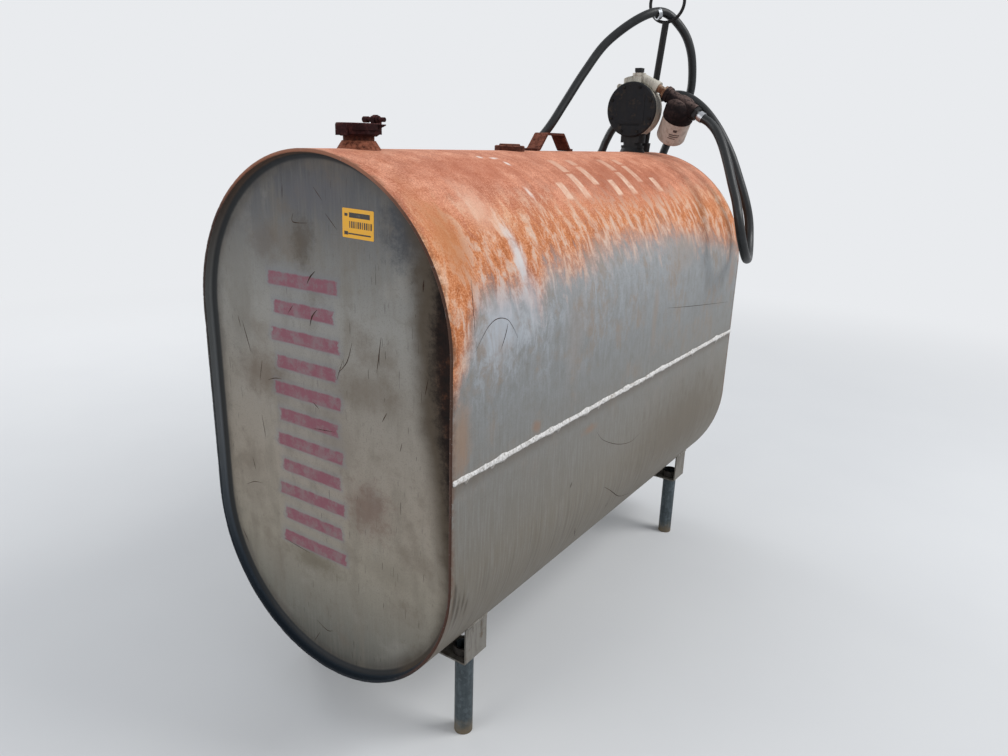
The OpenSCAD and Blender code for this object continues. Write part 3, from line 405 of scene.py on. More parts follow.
    # Pale ghost marks on the crown, where a stencil once kept the paint on: plain slanting bars
    slant = add(t, "Math", (arc, 0.16, y), **SCALED_PLUS)
    beats = add(t, "Math", (slant, GHOST_RATE, GHOST_START), **SCALED_PLUS)
    step, kind = beat(t, beats, 3.0)
    bars = add(t, "ValToRGB", (step,), stops=[(0.0, 0.0), (0.05, 1.0), (0.34, 1.0), (0.4, 0.0)])
    upper_end = add(t, "MapRange", (kind, 0.6, 0.4, 0.11, 0.205))
    lower_end = add(t, "MapRange", (kind, 1.6, 1.4, 0.232, 0.272))
    from_top = add(t, "Math", (arc, upper_end), **MINUS)
    to_foot = add(t, "Math", (lower_end, arc), **MINUS)
    gap = add(t, "Math", (add(t, "Math", (kind, -0.03, 0.21), **SCALED_PLUS), arc), **MINUS)
    gap = add(t, "Math", (gap,), operation="ABSOLUTE")
    bars = keep(t, bars, (from_top, 0.0, 0.01), (to_foot, 0.0, 0.01), (gap, 0.002, 0.006),
                (beats, 0.0, 0.04), (beats, GHOST_BARS + 0.04, GHOST_BARS))
    fainter = add(t, "MapRange", (arc, 0.11, 0.22, 0.4, 0.95))
    worn = add(t, "MapRange", (mottle, 0.62, 0.4, 0.3, fainter), **SOFT)
    ghost = add(t, "Math", (bars, worn), **TIMES)
    colour = add(t, "Mix", {0: ghost, 6: colour, 7: "#e3c2aa"}, **TINT)
    # Grime and rust gather beside the rims
    edge = keep(t, 0.75, (add(t, "Math", (y,), operation="ABSOLUTE"), LIP_Y, SHELL_Y))
    colour = wash(t, colour, ("#65452f", mottle, 0.38, 0.62, edge))
    rough = add(t, "Math", (rust, 0.3, add(t, "MapRange", (fine, 0.3, 0.7, 0.47, 0.58))), **SCALED_PLUS)
    crust = add(t, "Math", (mottle, rust), **TIMES)
    height = add(t, "Math", (dents, 3.0, add(t, "Math", (crust, 0.7), **TIMES)), **SCALED_PLUS)
    return close(material, colour, rough, height, 0.0016, 0.1, 0.55, 0.35)


def head_finish(stencil_colour):
    """The same paint on the flat ends, chalky and warm grey: clouds of brown grime, rain streaks, fine dark
    scratches, and a dark rusty band where water sits in the turned-in edge on the right."""
    material, t, place, speck, dents = start(
        "chalky aluminium paint on the heads", (300.0, 3.0, 0.8), (3.4, 2.0, 0.4))
    x, y, z = add(t, "SeparateXYZ", (place,), out=None).outputs
    over = add(t, "Math", (add(t, "Math", (z, MID_Z), **MINUS),), operation="ABSOLUTE")
    over = add(t, "Math", (add(t, "Math", (over, HALF_FLAT), **MINUS), 0.0), **LARGER)
    reach = add(t, "VectorMath", (add(t, "CombineXYZ", (x, over, 0.0)),), out=1, operation="LENGTH")
    inward = add(t, "Math", (SHELL_R, reach), **MINUS)
    flat = add(t, "CombineXYZ", (x, z, 0.0))
    near = add(t, "MapRange", (y, -0.5, -0.6, 0.0, 1.0))
    risen = add(t, "MapRange", (z, MID_Z - HALF_TALL, MID_Z + HALF_TALL, 0.0, 1.0))
    rained = add(t, "Mapping", {"Vector": add(t, "CombineXYZ", (x, z, y)), "Scale": (1, 0.05, 1)})
    swept = add(t, "Mapping", {"Vector": flat, "Scale": (1, 0.3, 1), "Location": (1.7, 0, 0)})
    rain, broad, clouds, mottle = (
        add(t, "TexNoise", {"Vector": space, "Scale": scale, "Detail": detail, "Roughness": broken})
        for space, scale, detail, broken in (
            (rained, 170.0, 5.0, 0.7), (swept, 20.0, 5.0, 0.62), (flat, 6.2, 6.0, 0.62),
            (flat, 32.0, 9.0, 0.78)))
    base = add(t, "ValToRGB", (risen,), stops=[
        (0.0, "#454541"), (0.1, "#6b6961"), (0.24, "#8a8376"), (0.4, "#90877b"), (0.58, "#868077"),
        (0.72, "#888681"), (0.81, "#747370"), (0.89, "#5b5b5c"), (1.0, "#3e3e42")])
    base = wash(t, base,
                ("#98948b", rain, 0.4, 0.68, 0.12), ("#6d665b", broad, 0.46, 0.68, 0.4),
                ("#665b4f", clouds, 0.5, 0.7, 0.55), ("#949089", clouds, 0.46, 0.3, 0.35),
                ("#5f564b", mottle, 0.52, 0.7, 0.35), ("#57524a", speck, 0.5, 0.66, 0.28),
                ("#2f2a25", speck, 0.72, 0.76, 0.7))
    grime = smudges(t, flat, mottle, base, [
        (-0.045, 1.103, 0.04, 0.06, "#4b4238", 0.7), (-0.01, 1.19, 0.11, 0.045, "#56555a", 0.5),
        (0.112, 0.578, 0.075, 0.075, "#634a40", 0.6), (-0.055, 0.402, 0.095, 0.035, "#574e3e", 0.55),
        (-0.19, 0.81, 0.09, 0.06, "#5f5145", 0.6), (0.11, 0.83, 0.13, 0.05, "#62574b", 0.5),
        (-0.16, 1.09, 0.05, 0.05, "#5a5048", 0.5), (0.229, 1.15, 0.07, 0.09, "#33363c", 0.8),
        (0.262, 1.05, 0.03, 0.07, "#443d36", 0.65), (0.03, 0.7, 0.07, 0.08, "#6a6056", 0.4),
        (0.17, 0.45, 0.08, 0.04, "#6f685c", 0.4), (-0.25, 0.98, 0.06, 0.2, "#6c6963", 0.45),
        (-0.24, 0.56, 0.04, 0.12, "#746c61", 0.4)])
    base = add(t, "Mix", {0: near, 6: base, 7: grime}, **TINT)
    # Fine dark scratches up to 40 mm long, in three directions
    for turn, shift, limit in ((0.12, 2.0, 0.74), (-0.5, 7.0, 0.755), (0.62, 11.0, 0.765)):
        turned = add(t, "Mapping", {"Vector": flat, "Rotation": (0, 0, turn), "Scale": (1, 0.07, 1),
                                    "Location": (shift, 0, 0)})
        lines = add(t, "TexNoise", {"Vector": turned, "Scale": 320.0, "Detail": 1.0, "Roughness": 0.4})
        spread = add(t, "TexNoise", {"Vector": turned, "Scale": 11.0, "Detail": 2.0})
        where = keep(t, 0.75, (spread, 0.5, 0.6))
        base = wash(t, base, ("#3a342d", lines, limit - 0.03, limit, where))
    # A faded stencilled panel: plain bars 27 mm high and worn at their ends, with a soft grey overspray
    beats = add(t, "Math", (z, 1 / PANEL_PITCH, -PANEL_FOOT / PANEL_PITCH), **SCALED_PLUS)
    beats = add(t, "Math", (mottle, 0.16, add(t, "Math", (beats, 0.08), **MINUS)), **SCALED_PLUS)
    step, odd = beat(t, beats, 2.0)
    bars = add(t, "ValToRGB", (step,), stops=[(0.08, 0.0), (0.13, 1.0), (0.55, 1.0), (0.6, 0.0)])
    halo = add(t, "ValToRGB", (step,), stops=[(0.0, 0.35), (0.12, 1.0), (0.58, 1.0), (0.8, 0.2)])
    end = add(t, "Math", (odd, -0.012, add(t, "Math", (mottle, 0.05, 0.075), **SCALED_PLUS)), **SCALED_PLUS)
    past = add(t, "Math", (add(t, "Math", (x, -PANEL_X), **PLUS),), operation="ABSOLUTE")
    past = add(t, "Math", (end, past), **MINUS)
    panel = (beats, 0.0, 0.05), (beats, PANEL_BARS, PANEL_BARS - 0.05), (near, 0.4, 0.6)
    bars = keep(t, bars, *panel, (past, 0.0, 0.004))
    halo = keep(t, halo, *panel, (past, -0.014, 0.004))
    base = add(t, "Mix", {0: add(t, "Math", (halo, 0.4), **TIMES), 6: base, 7: "#6f717a"}, **TINT)
    worn = add(t, "MapRange", (mottle, 0.66, 0.42, 0.35, 0.88), **SOFT)
    base = add(t, "Mix", {0: add(t, "Math", (bars, worn), **TIMES), 6: base, 7: stencil_colour}, **TINT)
    # Painted shade that darkens towards the bend all round, deepest low down, then a brown line low on the
    # right, and the deep band at mid height
    wobble = add(t, "Math", (clouds, 0.11, -0.055), **SCALED_PLUS)
    ragged = add(t, "Math", (inward, wobble), **PLUS)
    base = wash(t, base, ("#4a4540", ragged, 0.04, 0.01, 0.5))
    bend_shade = keep(t, 0.9, (inward, 0.0205, 0.015))
    by_side = add(t, "ValToRGB", (add(t, "MapRange", (x, -SHELL_R, SHELL_R, 0.0, 1.0)),), stops=[
        (0.0, "#272a2c"), (0.45, "#25272a"), (0.75, "#221811"), (1.0, "#140a06")])
    by_side = wash(t, by_side, ("#10171d", risen, 0.4, 0.12, 0.85))
    base = add(t, "Mix", {0: bend_shade, 6: base, 7: by_side}, **TINT)
    right = keep(t, near, (x, 0.16, 0.23))
    narrower = add(t, "Math", (add(t, "MapRange", (z, 0.88, 0.36, 0.0, 0.08)),
                               add(t, "MapRange", (z, 0.98, 1.18, 0.0, 0.085))), **PLUS)
    tapered = add(t, "Math", (inward, narrower), **PLUS)
    damp = add(t, "Math", (wobble, 0.7, tapered), **SCALED_PLUS)
    olive = add(t, "Math", (keep(t, 0.92, (damp, 0.126, 0.074)), right), **TIMES)
    base = add(t, "Mix", {0: olive, 6: base, 7: "#42372a"}, **TINT)
    crumbly = add(t, "Math", (mottle, 0.07, tapered), **SCALED_PLUS)
    brown = add(t, "Math", (keep(t, 1.0, (crumbly, 0.118, 0.078)), right), **TIMES)
    rust = add(t, "ValToRGB", (mottle,), stops=[(0.38, "#0c0503"), (0.54, "#1e0f09"), (0.72, "#4f2f1d")])
    base = add(t, "Mix", {0: brown, 6: base, 7: rust}, **TINT)
    # The turned-out edge inside the rim keeps a blue-grey paint on the left, and is painted near black low
    # down as painted shade inside the rim
    lip = keep(t, 0.9, (add(t, "Math", (y,), operation="ABSOLUTE"), LIP_Y, LIP_Y + 0.006))
    lip_tone = add(t, "ValToRGB", (risen,), stops=[
        (0.04, "#18222b"), (0.15, "#2f3943"), (0.3, "#5a626a"), (0.45, "#74787c"), (0.74, "#70716f"),
        (0.9, "#574b43"), (0.98, "#5f4a3d")])
    base = add(t, "Mix", {0: lip, 6: base, 7: lip_tone}, **TINT)
    crust = add(t, "Math", (mottle, add(t, "Math", (brown, 0.6, 0.15), **SCALED_PLUS)), **TIMES)
    height = add(t, "Math", (dents, 2.5, crust), **SCALED_PLUS)
    rough = add(t, "Math", (brown, 0.28, add(t, "MapRange", (rain, 0.3, 0.7, 0.5, 0.6))), **SCALED_PLUS)
    return close(material, base, rough, height, 0.0014, 0.06, 0.5, 0.2)


def rim_weld_finish():
    """The weld round the end, under old paint: dry rust on top where the sun lies, blue-black in the shade
    below, with bright chipped spots 3 to 6 mm across."""
    material, t, place, chips, cloud = start(
        "old paint on the rim weld", (190.0, 5.0, 0.72), (22.0, 4.0, 0.5))
    x, _, z = add(t, "SeparateXYZ", (place,), out=None).outputs
    high = add(t, "MapRange", (add(t, "Math", (cloud, 0.12, z), **SCALED_PLUS), 0.2, 1.34, 0.0, 1.0))
    tone = add(t, "ValToRGB", (high,), stops=[
        (0.02, "#0d141b"), (0.24, "#161e26"), (0.44, "#34373a"), (0.7, "#39332f"), (0.86, "#43302a"),
        (0.97, "#8a5c47")])
    colour = wash(t, tone, ("#4c2f20", x, 0.18, 0.3, 0.75), ("#8f8b86", chips, 0.6, 0.7, 0.5))
    return close(material, colour, 0.6, chips, 0.0008, 0.0, 0.6, 0.2)


def seam_weld_finish():
    """A thick weld bead under white-grey paint, with patches of brown dirt: a painted highlight on the
    ripples' crests, painted shade in their hollows, and a painted shade along its foot.
    """
    material, t, place, ripple, dirt = start("painted seam weld", (170.0, 5.0, 0.7), (21.0, 5.0, 0.7))
    z = add(t, "SeparateXYZ", (place,), out=2)
    # Painted highlight and shade: the same ripples as the bump, white on the crests and grey in the hollows
    colour = add(t, "ValToRGB", (ripple,), stops=[(0.34, "#98958f"), (0.47, "#cfccc8"), (0.6, "#e6e4e1")])
    colour = wash(t, colour, ("#8b7a67", dirt, 0.56, 0.68, 0.6))
    # Painted shade along the bead's foot, under its lower side
    foot_shade = add(t, "Math", (ripple, 0.006, z), **SCALED_PLUS)
    colour = wash(t, colour, ("#6a6259", foot_shade, SEAM_Z + 0.0005, SEAM_Z - 0.0015, 0.7))
    return close(material, colour, 0.5, ripple, 0.001, 0.0, 0.6)


# Finishes of the fittings

def rusty_iron(name, dark, middle, light, lump=0.008, dust=None):
    """Bare iron or steel under a dry, pitted rust: pits 1 to 3 mm across hold the darker colour, and dust or
    sun-bleached rust lies on what faces up."""
    material, t, _, pits, cloud = start(name, (1 / lump, 8.0, 0.72), (1 / (6 * lump), 4.0, 0.6))
    tone = add(t, "Math", (pits, 0.55, add(t, "Math", (cloud, 0.45), **TIMES)), **SCALED_PLUS)
    colour = add(t, "ValToRGB", (tone,), stops=[(0.36, dark), (0.5, middle), (0.66, light)])
    if dust:
        colour = dusted(t, colour, dust, pits, 0.58, 0.25, 0.8)
    return close(material, colour, 0.86, pits, 0.0008, 0.0, 0.7, 0.15)


def painted_casting(name, paint, worn, dirt, dust=None, wear_cover=0.6, roughness=0.55, metallic=0.0):
    """Paint on a casting or a pressing: the fine grain of the casting, dirt that has run down, patches worn
    to an older colour, and dust on what faces up."""
    material, t, _, grain, runs, wear = start(
        name, (400.0, 4.0, 0.6), (85.0, 5.0, 0.7, 1, 1, 0.14), (36.0, 7.0, 0.75))
    colour = wash(t, paint, (dirt, runs, 0.42, 0.68, 0.75), (worn, wear, 0.54, 0.66, wear_cover))
    if dust:
        colour = dusted(t, colour, dust, wear, 0.55, 0.3, 0.75)
    rough = add(t, "MapRange", (wear, 0.3, 0.7, roughness - 0.06, roughness + 0.12))
    height = add(t, "Math", (grain, 0.4, wear), **SCALED_PLUS)
    return close(material, colour, rough, height, 0.0006, metallic, 0.4, 0.5 if metallic else 0.22)


def galvanised_pipe():
    """Hot-dip galvanised pipe gone dull: a blue-grey spangle 8 mm across, runs, and soil at the foot."""
    material, t, place, runs, ragged = start(
        "dull galvanised pipe", (120.0, 4.0, 0.7, 1, 1, 0.11), (50.0, 6.0, 0.7))
    z = add(t, "SeparateXYZ", (place,), out=2)
    spangle = add(t, "TexVoronoi", {"Vector": place, "Scale": 120.0}, out=1)
    flake = add(t, "SeparateXYZ", (spangle,))
    tone = add(t, "Math", (flake, 0.22, add(t, "Math", (runs, 0.78), **TIMES)), **SCALED_PLUS)
    colour = add(t, "ValToRGB", (tone,), stops=[(0.3, "#394145"), (0.5, "#454e52"), (0.75, "#606a6f")])
    soil = add(t, "Math", (ragged, 0.09, z), **SCALED_PLUS)
    colour = wash(t, colour, ("#75664f", soil, 0.095, 0.035, 0.85))
    rough = add(t, "MapRange", (runs, 0.3, 0.7, 0.42, 0.6))
    return close(material, colour, rough, runs, 0.0003, 0.45, 0.3)


def hose_rubber(hose_colour):
    """Black rubber hose with a smooth cover: a soft sheen, chalk dust, and scuffs 5 to 20 mm long."""
    material, t, _, dust, scuff = start("black rubber hose", (33.0, 6.0, 0.7), (230.0, 4.0, 0.7))
    colour = wash(t, hose_colour, ("#2b2e31", dust, 0.48, 0.72, 0.45))
    rough = add(t, "MapRange", (scuff, 0.3, 0.7, 0.36, 0.5))
    return close(material, colour, rough, scuff, 0.0002, 0.0, 0.3, 0.4)


def plated_steel():
    """Bright zinc plating on the hose's ferrule and band, with a fine grain and a little dulling."""
    material, t, _, wear = start("bright plated steel", (170.0, 5.0, 0.7))
    colour = wash(t, "#a3a6aa", ("#77746e", wear, 0.5, 0.7, 0.6))
    rough = add(t, "MapRange", (wear, 0.35, 0.7, 0.3, 0.52))
    return close(material, colour, rough, wear, 0.0002, 0.95, 0.3)


def flat_print(name, colour, roughness=0.5):
    """Ink or vinyl film, faded and dusty in spots 5 to 15 mm across."""
    material, t, _, fade = start(name, (85.0, 5.0, 0.7))
    tone = wash(t, colour, ("#8f8a80", fade, 0.5, 0.75, 0.25))
    return close(material, tone, roughness, fade, 0.0001, 0.0, 0.2)


def floor_finish():
    """Pale studio paper: it keeps the soft shadow near the tank, and takes the backdrop's tone far off."""
    material, t, place, grain = start("pale studio paper", (2.0, 3.0, 0.5))
    paper = add(t, "BsdfDiffuse", {0: add(t, "Mix", {0: grain, 6: "#dcdddd", 7: "#d6d7d8"}, **TINT)})
    away = add(t, "VectorMath", (place,), out=1, operation="LENGTH")
    far = keep(t, in_sight(t), (away, 1.6, 5.5))
    glow = add(t, "Emission", {0: BACKDROP, 1: 1.0})
    add(t, "OutputMaterial", (add(t, "MixShader", (far, paper, glow)),), out=None)
    return material


# Forms

def oval_point(arc, inset=0.0):
    """The place on the oval at a way round from the crown, plus on the right, and the outward direction."""
    side = -1 if arc < 0 else 1
    arc, quarter = abs(arc), SHELL_R * math.pi / 2
    turn, centre = arc / SHELL_R, ROUND_TOP
    if arc > quarter:
        turn, centre = math.pi / 2, ROUND_TOP - (arc - quarter)
    if arc > quarter + 2 * HALF_FLAT:
        turn, centre = (arc - 2 * HALF_FLAT) / SHELL_R, ROUND_LOW
    out = Vector((side * math.sin(turn), 0, math.cos(turn)))
    return Vector((0, 0, centre)) + out * (SHELL_R - inset), out


def head_face(x, z):
    """A place on the near head's flat face, and the outward direction."""
    return Vector((x, -HEAD_Y, z)), Vector((0, -1, 0))


def shell_face(y, arc):
    """A place on the shell, and the outward direction."""
    point, out = oval_point(arc)
    return Vector((point.x, y, point.z)), out


def can_face(around, up):
    """A place on the side of the filter can, counted from the line that faces the near right."""
    out = Matrix.Rotation(around / CAN_R, 3, CAN_AXIS) @ CAN_FRONT
    return CAN_FOOT + CAN_AXIS * up + out * CAN_R, out


def ribbons(lines, surface, lift):
    """Flat strips that follow lines of places on a surface. A line is its widths at the start, the middle and
    the end, and its places."""
    bm = bmesh.new()
    for widths, places in lines:
        places = smooth_route(places, 4)
        steps = len(places) - 1
        grid = bmesh.ops.create_grid(bm, x_segments=steps, y_segments=1, size=0.5)
        for vert in grid["verts"]:
            at = (vert.co.x + 0.5) * steps
            k = min(int(at), steps - 1)
            here, there = places[k], places[k + 1]
            middle = here.lerp(there, at - k)
            way = (there - here).normalized()
            share = (vert.co.x + 0.5) * 2
            first, last, share = (*widths[:2], share) if share < 1 else (*widths[1:], share - 1)
            width = first + (last - first) * share
            shift = width / 2 * (1 if vert.co.y > 0 else -1)
            point, out = surface(middle.x - way.y * shift, middle.y + way.x * shift)
            vert.co = point + out * lift
        bm.normal_update()
        faces = {face for vert in grid["verts"] for face in vert.link_faces}
        out = surface(*places[0])[1]
        if sum(face.normal.dot(out) for face in faces) < 0:
            bmesh.ops.reverse_faces(bm, faces=list(faces))
    return bm


def bead(bm, rows, place, closed=False, sides=10):
    """A welded bead: a tube whose rings lie at place(share of the way, angle), closed at its ends or as a
    loop."""
    grid = bmesh.ops.create_grid(bm, x_segments=rows, y_segments=sides, size=0.5)["verts"]
    for vert in grid:
        i, j = round((vert.co.x + 0.5) * rows), round((vert.co.y + 0.5) * sides)
        vert.co = place((i % rows if closed else i) / rows, 2 * math.pi * (j % sides) / sides)
    bmesh.ops.remove_doubles(bm, verts=grid, dist=1e-6)
    bmesh.ops.holes_fill(bm, edges=[edge for edge in bm.edges if edge.is_boundary], sides=0)
    bmesh.ops.recalc_face_normals(bm, faces=bm.faces)
    return bm


def seam_bead(side, width):
    """A hand-laid bead along the seam: it swells and thins, droops in places, and has lumps at restarts."""
    def place(share, angle):
        y = (2 * share - 1) * (SHELL_Y - SEAM_SHORT)
        outward, upward = math.cos(angle), math.sin(angle)
        # Lumps some 40, 10 and 4 mm long, and a line that wanders and droops
        swell = 1 + 0.3 * noise.noise(Vector((y * 24, side, 0)))
        swell += 0.3 * noise.noise(Vector((y * 95, side, 3)))
        swell += sum(0.5 * math.exp(-((y - restart) / 0.014) ** 2) for restart in SEAM_RESTARTS)
        swell *= 1 + 0.22 * noise.noise(Vector((y * 240, outward * 2, side + upward * 2)))
        drift = 0.0026 * noise.noise(Vector((y * 9, side, 7)))
        droop = max(0.0, noise.noise(Vector((y * 48, side, 11))) - 0.16) * 0.016 * max(0.0, -upward)
        return Vector((side * (SHELL_R - SEAM_SUNK + SEAM_HIGH * swell * outward), y,
                       SEAM_Z + drift + width / 2 * swell * upward - droop))
    return bead(bmesh.new(), SEAM_RINGS, place, sides=12)


def rim_bead(side):
    """The weld that closes the rim: narrow and bumpy, ground back in places."""
    def place(share, angle):
        centre, out = oval_point((2 * share - 1) * HALF_WAY, RIM_BEAD_R)
        wave = Vector((centre.x * 28, centre.z * 28, side * 5))
        swell = 1 + 0.25 * noise.noise(wave) + 0.22 * noise.noise(wave * 6)
        point = centre + out * (RIM_BEAD_R * min(swell, 1.0) * math.cos(angle))
        point.y = side * (SHELL_Y + RIM_BEAD_HALF * min(swell, 1.18) * math.sin(angle))
        return point
    return bead(bmesh.new(), RIM_RINGS, place, closed=True)


def bracket_beads():
    """Short, lumpy fillet welds where each bent plate meets the shell, outside and underneath."""
    bm = bmesh.new()
    for side in (-1, 1):
        for end in (-1, 1):
            for x, radius, seed in ((BRACKET_OUT, 0.0042, 0), (BRACKET_IN, 0.0036, 9)):
                z = ROUND_LOW - math.sqrt(SHELL_R ** 2 - x ** 2)

                def place(share, angle):
                    y = end * LEG_Y + (share - 0.5) * BRACKET_WIDE
                    outward, upward = math.cos(angle), math.sin(angle)
                    lump = 1 + 0.35 * noise.noise(Vector((y * 90, side, seed)))
                    lump += 0.25 * noise.noise(Vector((y * 300, side + outward, seed + upward)))
                    lump *= radius * min(1.0, 0.35 + 7 * min(share, 1 - share))
                    return Vector((side * (x + lump * outward), y, z + lump * upward))
                bead(bm, BRACKET_RINGS, place, sides=8)
    return bm


def label_slab(width, height):
    """A thin label with rounded corners."""
    bm = bmesh.new()
    bmesh.ops.create_cube(bm, size=1.0)
    bmesh.ops.scale(bm, vec=(width, LABEL_THICK, height), verts=bm.verts)
    corners = [edge for edge in bm.edges if abs(edge.verts[0].co.y - edge.verts[1].co.y) > LABEL_THICK / 2]
    bmesh.ops.bevel(bm, geom=corners, affect="EDGES", offset=LABEL_CORNER, segments=4, profile=0.5,
                    material=-1)
    return bm


def smooth_route(points, steps=8):
    """A smooth line through the points, with steps places from each to the next."""
    route = [Vector(point) for point in points]
    route = [route[0]] + route + [route[-1]]
    line = []
    for a, b, c, d in zip(route, route[1:], route[2:], route[3:]):
        for k in range(steps):
            t = k / steps
            line.append(0.5 * (2 * b + (c - a) * t + (2 * a - 5 * b + 4 * c - d) * t * t
                               + (3 * b - a - 3 * c + d) * t ** 3))
    return line + [route[-1]]


# Settings that a user would change

class FuelTankLooks(bpy.types.PropertyGroup):
    label_width: bpy.props.FloatProperty(
        name="Label width", description="Width of the blank label on the near head",
        default=0.078, min=0.02, max=0.2, unit="LENGTH")
    label_height: bpy.props.FloatProperty(
        name="Label height", description="Height of the blank label on the near head",
        default=0.053, min=0.02, max=0.2, unit="LENGTH")
    label_colour: bpy.props.FloatVectorProperty(
        name="Label colour", description="Colour of the label's vinyl film",
        default=linear("#dfa21a"), size=4, min=0.0, max=1.0, subtype="COLOR")
    stencil_colour: bpy.props.FloatVectorProperty(
        name="Stencil colour", description="Colour of the faded bars on the heads",
        default=linear("#7d4653"), size=4, min=0.0, max=1.0, subtype="COLOR")
    hose_colour: bpy.props.FloatVectorProperty(
        name="Hose colour", description="Colour of the rubber hose where it is clean",
        default=linear("#0f1214"), size=4, min=0.0, max=1.0, subtype="COLOR")
    hose_diameter: bpy.props.FloatProperty(
        name="Hose diameter", description="Outside diameter of the fuel hose",
        default=0.027, min=0.015, max=0.04, unit="LENGTH")
    seam_width: bpy.props.FloatProperty(
        name="Seam bead width", description="Width of the weld bead along the two seams",
        default=0.013, min=0.004, max=0.02, unit="LENGTH")
    floor_size: bpy.props.FloatProperty(
        name="Floor size", description="Width of the studio floor",
        default=60.0, min=5.0, max=200.0, unit="LENGTH")


# Operators

class FUELTANK_OT_stage(bpy.types.Operator):
    """Camera at the photo's viewpoint, pale floor, soft lights"""
    bl_idname = "fueltank.stage"
    bl_label = "Stage and camera"

    def execute(self, context):
        scene = context.scene
        data = bpy.data.cameras.new("photo camera")
        data.sensor_width = SENSOR_WIDE
        data.lens = CAMERA_LENS
        data.clip_end = SIGHT_END
        camera = put("photo camera", data)
        turn = Matrix((CAMERA_RIGHT, -CAMERA_DOWN, -CAMERA_AHEAD)).transposed()
        camera.matrix_world = Matrix.Translation(CAMERA_PLACE) @ turn.to_4x4()
        scene.camera = camera
        bm = bmesh.new()
        bmesh.ops.create_grid(bm, x_segments=8, y_segments=8, size=scene.fuel_tank.floor_size / 2)
        bmesh.ops.translate(bm, verts=bm.verts, vec=(0, 0, -FLOOR_DROP))
        put_mesh("studio_floor", bm, floor_finish(), smooth=False)
        world = bpy.data.worlds.new("pale studio")
        world.use_nodes = True
        tree = world.node_tree
        tree.nodes.clear()
        light = add(tree, "Background", {0: SKY, 1: SKY_LEVEL})
        backdrop = add(tree, "Background", {0: BACKDROP, 1: 1.0})
        add(tree, "OutputWorld", (add(tree, "MixShader", (in_sight(tree), light, backdrop)),), out=None)
        scene.world = world
        for name, place, size, power in LAMPS:
            lamp = bpy.data.lights.new(name, "AREA")
            lamp.shape = "SQUARE"
            lamp.size = size
            lamp.energy = power
            turn = (LAMP_AIM - Vector(place)).to_track_quat("-Z", "Y").to_matrix()
            put(name, lamp).matrix_world = Matrix.Translation(place) @ turn.to_4x4()
        scene.view_settings.view_transform = "Standard"
        return {"FINISHED"}


class FUELTANK_OT_hose(bpy.types.Operator):
    """Fuel hose from the filter, over the hanger, to the nozzle behind the far head"""
    bl_idname = "fueltank.hose"
    bl_label = "Fuel hose"

    def execute(self, context):
        looks = context.scene.fuel_tank
        line = smooth_route(HOSE_ROUTE)
        curve = bpy.data.curves.new("rubber_hose", "CURVE")
        curve.dimensions = "3D"
        curve.bevel_depth = looks.hose_diameter / 2
        curve.bevel_resolution = 8
        curve.use_fill_caps = True
        spline = curve.splines.new("POLY")
        spline.points.add(len(line) - 1)
        for point, place in zip(spline.points, line):
            point.co = (*place, 1.0)
        spline.use_smooth = True
        hose = put("rubber_hose", curve)
        curve.materials.append(hose_rubber(tuple(looks.hose_colour)))
        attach(hose, "tank")
        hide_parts("fuel_hose")
        length = sum((b - a).length for a, b in zip(line, line[1:]))
        dress(plated_steel(), "hose_ferrule", "hanger_clamp")
        dress(painted_casting("cast aluminium nozzle", "#8f9193", "#b7b9bb", "#55565a", roughness=0.42,
                              metallic=0.6), "nozzle_body", "nozzle_spout")
        dress(painted_casting("dark coated lever and guard", "#26282b", "#4a4b4c", "#1a1b1c"),
              "nozzle_lever", "nozzle_guard")
        return {"FINISHED"}


class FUELTANK_OT_shell(bpy.types.Operator):
    """Paint and rust on the shell and the heads"""
    bl_idname = "fueltank.shell"
    bl_label = "Shell and heads"

    def execute(self, context):
        dress(shell_finish(), "shell_upper", "shell_lower")
        dress(head_finish(tuple(context.scene.fuel_tank.stencil_colour)), "head_front", "head_rear")
        return {"FINISHED"}


class FUELTANK_OT_scratches(bpy.types.Operator):
    """Deep scratches and scuffs in the paint of the near head and the right side"""
    bl_idname = "fueltank.scratches"
    bl_label = "Scratches"

    def execute(self, context):
        steel = rusty_iron("rust in a scratch", "#1d140f", "#33251d", "#5a4334", 0.004)
        for name, rows, face, slot in (("head_scratches", HEAD_SCRATCHES, head_face, "head_paint"),
                                       ("side_scratches", SIDE_SCRATCHES, shell_face, "shell_paint")):
            lines = [(widths, list(zip(places[::2], places[1::2]))) for widths, *places in rows]
            new_piece(name, ribbons(lines, face, LIFT), steel, slot, smooth=False)
        return {"FINISHED"}


class FUELTANK_OT_welds(bpy.types.Operator):
    """Weld beads along the seams, round the rims and at the leg brackets"""
    bl_idname = "fueltank.welds"
    bl_label = "Welds"

    def execute(self, context):
        width = context.scene.fuel_tank.seam_width
        pale, dark = seam_weld_finish(), rim_weld_finish()
        for side, word in ((1, "right"), (-1, "left")):
            new_piece("seam_bead_" + word, seam_bead(side, width), pale, "weld_bead", ["seam_weld_" + word])
        for side, word in ((-1, "front"), (1, "rear")):
            new_piece("rim_bead_" + word, rim_bead(side), dark, "rim_weld", ["rim_weld_" + word])
        grey = painted_casting("painted bracket weld", "#8b877f", "#5f4a3a", "#5c564d")
        new_piece("bracket_beads", bracket_beads(), grey, "weld_bead")
        return {"FINISHED"}


class FUELTANK_OT_legs(bpy.types.Operator):
    """Brackets, sockets and pipe legs"""
    bl_idname = "fueltank.legs"
    bl_label = "Legs"

    def execute(self, context):
        corners = ("front_left", "front_right", "rear_left", "rear_right")
        dress(painted_casting("weathered paint on bent plate", "#7d7972", "#5c4a38", "#524c43"),
              *("leg_bracket_" + corner for corner in corners))
        dress(rusty_iron("dull socket steel", "#2c2a28", "#433f3b", "#625c54"),
              *("leg_socket_" + corner for corner in corners))
        dress(galvanised_pipe(), *("leg_pipe_" + corner for corner in corners))
        return {"FINISHED"}


